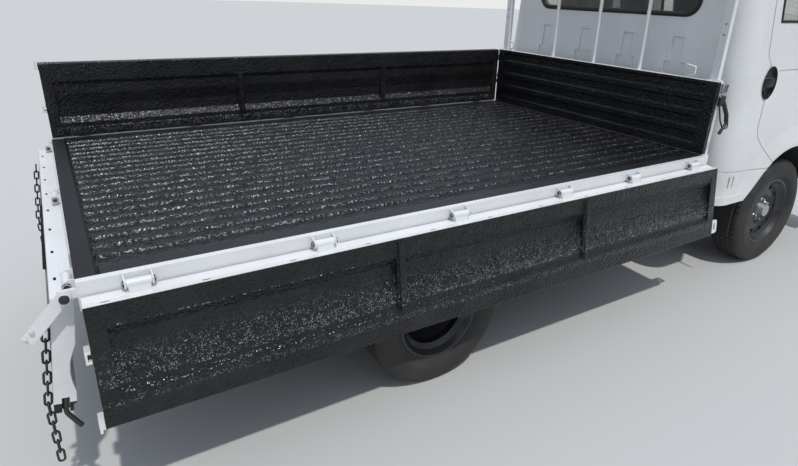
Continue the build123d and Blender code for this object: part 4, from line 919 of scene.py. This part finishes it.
for tone, material, y0, y1 in (("amber", amber_lens, 0.706, 0.774), ("red", red_lens, 0.634, 0.702),
                               ("clear", clear_lens, 0.566, 0.63)):
    bm = bmesh.new()
    add_boxes(bm, ((lamp_rear + 0.0005, y0, lamp_low + 0.008), (lamp_rear + 0.017, y1, lamp_high - 0.008), 0.005, 3))
    rib_x, rib_low, rib_high = lamp_rear + 0.0025, lamp_low + 0.014, lamp_high - 0.014
    rib_ys = [y0 + 0.009 + k * (y1 - y0 - 0.018) / 7 for k in range(8)]
    add_rods(bm, *(((rib_x, y, rib_low), (rib_x, y, rib_high), 0.0018, 8) for y in rib_ys))
    new_piece(tone + "_tail_lenses", both_sides(bm), material)

# %% [markdown]
# ## Strap latches
# Beside the headboard each side panel is held shut by a rubber strap: a grey metal bracket with two slanted
# slots, a strap with one thick and one thin strand, and at its end a ring with a bar to pull on. Here the straps
# hang loose, leaning a little forward and outward.

# %% Brackets, straps, rings and bars
metal, rubber = bmesh.new(), bmesh.new()
add_boxes(metal, ((0.4935, 0.8112, 1.068), (0.545, 0.8165, 1.138), 0.0015),
          ((0.5, 0.816, 1.09), (0.545, 0.8275, 1.138), 0.004, 3))
add_rods(metal, ((0.496, 0.8215, 1.074), (0.544, 0.8215, 1.074), 0.0042, 16, 0.001))
for x in (0.512, 0.53):
    slot = bmesh.new()
    add_boxes(slot, ((-0.0045, -0.001, -0.019), (0.0045, 0.001, 0.019), 0.0008, 1))
    bmesh.ops.rotate(slot, cent=(0, 0, 0), matrix=Matrix.Rotation(radians(16), 3, "Y"), verts=slot.verts)
    bmesh.ops.translate(slot, vec=(x, 0.8277, 1.114), verts=slot.verts)
    rubber = joined(rubber, slot)
add_boxes(rubber, ((0.4965, 0.8125, 1.028), (0.545, 0.8285, 1.078), 0.0065, 3))
add_tube(rubber, [(0.538, 0.822, 1.046), (0.54, 0.833, 1.022), (0.541, 0.848, 0.99), (0.539, 0.857, 0.952)], 0.01,
         sides=3)
add_tube(rubber, [(0.502, 0.822, 1.042), (0.5, 0.832, 1.012), (0.502, 0.846, 0.962), (0.515, 0.855, 0.93)], 0.0036)
add_tube(rubber, [(0.541 + x, 0.86, 0.937 + z) for x, z in circle(20, 0.013, 0.0145)], 0.003, cyclic=True)
add_rods(rubber, ((0.54, 0.857, 0.948), (0.492, 0.86, 0.9), (0.0072, 0.008), 16, 0.003))
new_piece("strap_brackets", both_sides(metal), bare_steel)
new_piece("panel_strap_rubbers", both_sides(rubber), strap_black, replaces=["panel_straps"])

# %% [markdown]
# ## Springs, dampers and tank straps
# The leaf springs are clamped to the axle by U-bolts over a plate, and slanted dampers stand beside them. The
# tank hangs in two steel straps.

# %% U-bolts, dampers, straps and cap
bm = bmesh.new()
bolt_xs = (rear_x - 0.045, rear_x + 0.045)
for y in (0.386, 0.454):
    for x in bolt_xs:
        add_rods(bm, ((x, y, 0.232), (x, y, 0.398), 0.0065, 14), ((x, y, 0.236), (x, y, 0.246), 0.0115, 6, 0.0015))
for x in bolt_xs:
    over_spring = ((0.386, 0.396), (0.39, 0.408), (0.402, 0.414), (0.438, 0.414), (0.45, 0.408), (0.454, 0.396))
    add_tube(bm, [(x, y, z) for y, z in over_spring], 0.0065)
add_boxes(bm, ((rear_x - 0.065, 0.376, 0.245), (rear_x + 0.065, 0.464, 0.255), 0.002, 1))
start, end = Vector((rear_x - 0.055, 0.292, 0.318)), Vector((rear_x - 0.195, 0.292, 0.59))
way = (end - start).normalized()
add_rods(bm, (start, start + way * 0.16, 0.027, 24, 0.003), (start + way * 0.12, end, 0.009),
         (start + way * 0.15, end - way * 0.02, 0.032, 24, 0.002),
         *((eye - Vector((0, 0.02, 0)), eye + Vector((0, 0.03, 0)), 0.015, 20, 0.002) for eye in (start, end)))
add_rods(bm, *(((x, 0.3795, z), (x, 0.3895, z), 0.0095, 6, 0.0015)
               for x in (-1.66, -1.3, -0.9, -0.56, -0.2, 0.15) for z in (0.575, 0.64)))
new_piece("clamps_and_dampers", both_sides(bm), chassis_black)
bm = bmesh.new()
for x in (-0.37, 0.04):
    rear, front = x - 0.016, x + 0.016
    add_boxes(bm, ((rear, 0.3775, 0.3305), (front, 0.7725, 0.3335), 0.001, 1),
              ((rear, 0.7695, 0.372), (front, 0.7725, 0.552), 0.001, 1),
              ((rear, 0.3775, 0.5905), (front, 0.73, 0.5945), 0.001, 1))
    arc = [(x, 0.731 + 0.041 * cos(radians(v)), 0.372 - 0.041 * sin(radians(v))) for v in range(0, 91, 15)]
    add_rods(bm, *((u, v, 0.0022, 8) for u, v in zip(arc, arc[1:])))
add_rods(bm, ((-0.4, 0.765, 0.52), (-0.4, 0.796, 0.52), 0.024, 32, 0.003),
         ((-0.4, 0.794, 0.52), (-0.4, 0.808, 0.52), 0.033, 32, 0.004))
new_piece("tank_straps_and_cap", bm, black_steel)

# %% [markdown]
# ## Rain gutters
# Gutters run along the roof over the doors. Their line is cast onto the flank point by point, so it follows the
# cab's side however that curves.

# %% Rain gutters
gutter_rear, gutter_front, gutter_z, gutter_points = 0.66, 1.56, 1.888, 25
bm = bmesh.new()
line = []
for k in range(gutter_points):
    x = gutter_rear + k * (gutter_front - gutter_rear) / (gutter_points - 1)
    line.append(shell.ray_cast(Vector((x, 2.0, gutter_z)), Vector((0, -1, 0)))[0] + Vector((0, 0.0015, 0)))
add_tube(bm, line, 0.0058)
new_piece("rain_gutters", both_sides(bm), white_enamel, sharp=60)

# %% [markdown]
# ## Seats
# A seat pad is foam under stretched cloth. Here a plain block a little smaller than the CAD cushion is remeshed
# evenly and blown up by cloth pressure, and no point may leave the cushion's box. The pleats are pressed in
# after that.

# %% Blocks blown up by cloth pressure
def even_block(name, low, high, gap=0.013, cell=0.011):
    """Rounded block with an even mesh, smaller than its box by gap, as an object."""
    bm = bmesh.new()
    margin = Vector((gap,) * 3)
    add_boxes(bm, (Vector(low) + margin, Vector(high) - margin, 0.022, 3))
    block = add_object(name, to_mesh(name, bm))
    remesh = block.modifiers.new("even", "REMESH")
    remesh.mode, remesh.voxel_size = "VOXEL", cell
    even = bpy.data.meshes.new_from_object(block.evaluated_get(bpy.context.evaluated_depsgraph_get()))
    block.modifiers.clear()
    block.data = even
    return block


def blow_up(blocks, frames=20):
    """Runs cloth pressure on all blocks at once and gives each block's moved points."""
    for block in blocks:
        cloth = block.modifiers.new("pad", "CLOTH").settings
        cloth.use_pressure, cloth.uniform_pressure_force = True, 4.0
        cloth.effector_weights.gravity = 0.0
        cloth.quality, cloth.mass = 4, 0.25
    for frame_number in range(1, frames + 1):
        scene.frame_set(frame_number)
    deps = bpy.context.evaluated_depsgraph_get()
    moved = [[v.co.copy() for v in block.evaluated_get(deps).data.vertices] for block in blocks]
    for block in blocks:
        block.modifiers.clear()
    scene.frame_set(1)
    return moved


seat_rear, seat_len, seat_low, seat_top, back_h, back_thick = 0.917, 0.55, 0.9155, 1.035, 0.5595, 0.11
pads = {}
for part, x0, x1, height in (("cushion", 0.0, seat_len, seat_top - seat_low), ("back", -back_thick, 0.0, back_h)):
    for place_name, y0, y1 in (("driver", -0.7, -0.18), ("passengers", -0.16, 0.7)):
        pads[f"seat_{part}_{place_name}"] = ((x0, y0, 0.0), (x1, y1, height))
blocks = {name: even_block(name, *box) for name, box in pads.items()}
starts = [[v.co.copy() for v in block.data.vertices] for block in blocks.values()]
puffed = blow_up(blocks.values())
swell = 0.024
for (name, block), start, end in zip(blocks.items(), starts, puffed):
    low, high = pads[name]
    for vertex, a, b in zip(block.data.vertices, start, end):
        step = b - a
        spot = a + step * min(1.0, swell / max(step.length, 1e-6))
        vertex.co = [min(max(spot[i], low[i] + 0.001), high[i] - 0.001) for i in range(3)]
print("pads", {name: len(block.data.vertices) for name, block in blocks.items()})

# %% [markdown]
# The pleats run front to back on the cushions and up the backs, inside a border seam. Each is a narrow hollow
# pressed into the padded surface, deepest in the middle of the pad and gone before the border.

# %% Pleats, and the places of the four pads
def fade(value, low, high, width=0.012):
    """1 between low and high, falling to 0 within width outside them."""
    return min(max((min(value - low, high - value) + width) / width, 0.0), 1.0)


def press_pleats(block, name, pleat=0.075, border=0.075, seam=0.064, groove=0.011):
    low, high = pads[name]
    flat = "cushion" in name
    run_axis, face_axis = (0, 2) if flat else (2, 0)
    run_low, run_high = low[run_axis], high[run_axis]
    for vertex in block.data.vertices:
        y, run = vertex.co.y, vertex.co[run_axis]
        if vertex.co[face_axis] <= (high[2] if flat else 0.0) - 0.045:
            continue
        room = (fade(run, run_low + border, run_high - border) * fade(y, low[1] + border, high[1] - border))
        phase = ((y - low[1] - border) / pleat) % 1.0
        near = min(phase, 1.0 - phase) * pleat
        rim = max(abs(v - (a + b) / 2) - (b - a) / 2 + seam for v, a, b in ((run, run_low, run_high),
                                                                           (y, low[1], high[1])))
        vertex.co[face_axis] -= (0.007 * room * max(0.0, 1.0 - near / groove)
                                 + 0.005 * max(0.0, 1.0 - abs(rim) / groove))


def weave(name, tone, second):
    """Plain woven cloth: two crossed wave bands under a soft mottle."""
    tree = new_tree(name)
    x, y, z = split(place(tree))
    warp_yarn, weft_yarn = (calc("ABSOLUTE", calc("SINE", times(v, 1500.0))) for v in (y, minus(x, z)))
    yarn = times(warp_yarn, weft_yarn)
    colour = mix(ramp(noise(tree, 26, 5, 0.6), 0.35, 0.68), tone, second)
    colour = mix(times(yarn, 0.35), colour, grey(0.02))
    colour = mix(use_group(tree, grime, Patch=5.0, Amount=0.25, Low=2.0)["Mask"], colour, grey(0.14))
    return finish(name, colour, ramp(yarn, 0.0, 1.0, 0.82, 0.95), yarn, 0.0006, Sheen_Weight=0.25)


seat_cloth = weave("seat_fabric", grey(0.06, (0.92, 0.97, 1.08)), grey(0.11, (0.95, 0.98, 1.05)))
replaced = {"seat_cushion_driver": "seat_cushions", "seat_back_driver": "seat_backs"}
for name, block in blocks.items():
    press_pleats(block, name)
    for vertex in block.data.vertices:
        x, y, z = vertex.co
        if "cushion" in name:
            vertex.co = (seat_rear + x, y, seat_low + z)
        else:
            thin = 1.0 - 0.18 * max(0.0, z - 0.28) / 0.28
            vertex.co = (1.027 - 0.1964 * z + x * thin, y, seat_top + 0.0005 + z)
    block.data.materials.append(seat_cloth)
    block.data.shade_smooth()
    smooth = block.modifiers.new("fine", "SUBSURF")
    smooth.levels = smooth.render_levels = 1
    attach(block, "chassis")
    if name in replaced:
        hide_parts(replaced[name])
print("seats", [tuple(round(c, 3) for c in block.dimensions) for block in blocks.values()])

# %% [markdown]
# ## Steering wheel
# The wheel is a thin padded rim on three spokes with a domed pad in the middle, at the top of a column whose
# shroud carries two stalks. The rim and the pad are spun round the column's own slanted axis.

# %% Wheel, column and stalks
wheel_centre, rake = Vector((1.691, -0.44, 1.19)), radians(42)
column, side_way = Vector((-sin(rake), 0, cos(rake))), Vector((0, 1, 0))
down_way = column.cross(side_way)
pad = [(0.0005, 0.006), (0.03, 0.003), (0.046, -0.004), (0.052, -0.014), (0.046, -0.026), (0.0005, -0.028)]
shroud = [(0.02, -0.03), (0.038, -0.036), (0.046, -0.075), (0.05, -0.185), (0.04, -0.225), (0.022, -0.262),
          (0.0005, -0.262), (0.0005, -0.03)]
bm = bmesh.new()
add_turned(bm, [(0.1855 + a, b) for a, b in circle(14, 0.0135, 0.0135)], wheel_centre, 64, column)
add_turned(bm, pad, wheel_centre, 40, column, closed=False)
for angle in (radians(v) for v in (8, 172, 270)):
    way = side_way * cos(angle) + down_way * -sin(angle)
    add_rods(bm, (wheel_centre + way * 0.04 - column * 0.014, wheel_centre + way * 0.176 - column * 0.003,
                  (0.015, 0.0095)))
add_turned(bm, shroud, wheel_centre, 32, column, closed=False)
for turn in (1, -1):
    root = wheel_centre - column * 0.08 + side_way * turn * 0.03
    bend, tip = (root + side_way * turn * out + (down_way + column) * drop for out, drop in ((0.075, 0.012),
                                                                                         (0.118, 0.018)))
    add_rods(bm, (root, bend, (0.005, 0.0042), 12), (bend, tip, (0.0075, 0.0065), 14, 0.001))
new_piece("steering_wheel_and_column", bm, black_plastic, replaces=["steering_wheel"], sharp=50)

# %% [markdown]
# ## Dashboard fittings and levers
# On the plain dashboard sit a hooded dial cluster, air vents, a heater panel with knobs and a glove box lid.
# The gear lever with its boot and the handbrake stand on the seat base, and three pedals hang below.

# %% Cluster, vents, panel and levers
dial = [(0.0005, 0), (0.04, 0), (0.044, -0.006), (0.04, -0.01), (0.0005, -0.006)]
boot = [(0.0005, 0.075), (0.014, 0.07), (0.026, 0.045), (0.046, 0.012), (0.06, 0), (0.0005, 0)]
knob = [(0.0005, 0.03), (0.016, 0.026), (0.024, 0.006), (0.02, -0.016), (0.01, -0.026), (0.0005, -0.026)]
bm = bmesh.new()
add_boxes(bm, ((1.895, -0.6, 1.225), (2.075, -0.28, 1.285), 0.02, 3),
          ((1.862, -0.575, 1.196), (1.905, -0.305, 1.262), 0.01),
          ((1.853, -0.15, 1.01), (1.868, 0.07, 1.098), 0.004), ((1.855, 0.2, 1.008), (1.868, 0.62, 1.1), 0.006),
          ((1.848, 0.38, 1.08), (1.86, 0.44, 1.092), 0.003), ((1.48, -0.15, 0.915), (1.56, -0.105, 0.948), 0.008))
for y in (-0.7, -0.19, 0.000, 0.69):
    slats = [1.119 + k * 0.0135 for k in range(4)]
    add_boxes(bm, ((1.852, y - 0.062, 1.11), (1.866, y + 0.062, 1.172), 0.005),
              *(((1.846, y - 0.052, z), (1.862, y + 0.052, z + 0.0035), 0.001, 1) for z in slats))
for y in (-0.56, -0.44, -0.33):
    add_tube(bm, [(1.93, y, 1.02), (1.89, y, 0.88), (1.85, y, 0.8)], 0.0075)
    add_boxes(bm, ((1.826, y - 0.034, 0.77), (1.846, y + 0.034, 0.832), 0.005))
add_rods(bm, *(((1.856, y, 1.054), (1.836, y, 1.054), (0.019, 0.016), 24, 0.002) for y in (-0.105, -0.04, 0.025)))
add_rods(bm, ((1.48, -0.128, 0.945), (1.64, -0.128, 1.0), 0.0085),
         ((1.6, -0.128, 0.986), (1.69, -0.128, 1.017), (0.0145, 0.0125), 20, 0.002))
for y in (-0.515, -0.365):
    add_turned(bm, dial, (1.862, y, 1.23), 32, (1, 0, 0), closed=False)
add_turned(bm, boot, (1.562, 0.02, 0.9155), 28, (0, 0, 1), closed=False)
add_turned(bm, knob, (1.538, 0.003, 1.15), 24, (0, 0, 1), closed=False)
add_tube(bm, [(1.562, 0.02, 0.975), (1.555, 0.016, 1.04), (1.54, 0.004, 1.13)], 0.0085)
new_piece("dash_fittings", bm, black_plastic, sharp=45)

# %% [markdown]
# ## Door trim
# Each door has a padded card with an armrest, a pull and a window winder on its inner face. They ride on the
# door, so they swing with it.

# %% Door cards, armrests and winders
bm = bmesh.new()
add_boxes(bm, ((0.8, 0.806, 0.88), (1.83, 0.8225, 1.37), 0.007), ((0.86, 0.799, 0.93), (1.5, 0.811, 1.09), 0.006),
          ((1.12, 0.748, 1.128), (1.48, 0.812, 1.17), 0.014, 3))
add_tube(bm, [(1.18, 0.806, 1.3), (1.185, 0.778, 1.3), (1.33, 0.778, 1.3), (1.335, 0.806, 1.3)], 0.0085)
add_rods(bm, ((1.56, 0.808, 1.08), (1.56, 0.782, 1.08), (0.022, 0.019), 24, 0.002),
         ((1.56, 0.785, 1.08), (1.64, 0.779, 1.02), (0.0075, 0.006), 14),
         ((1.638, 0.781, 1.021), (1.638, 0.752, 1.021), (0.011, 0.013), 18, 0.002))
door_pieces("door_trim_", bm, black_plastic, sharp=45)
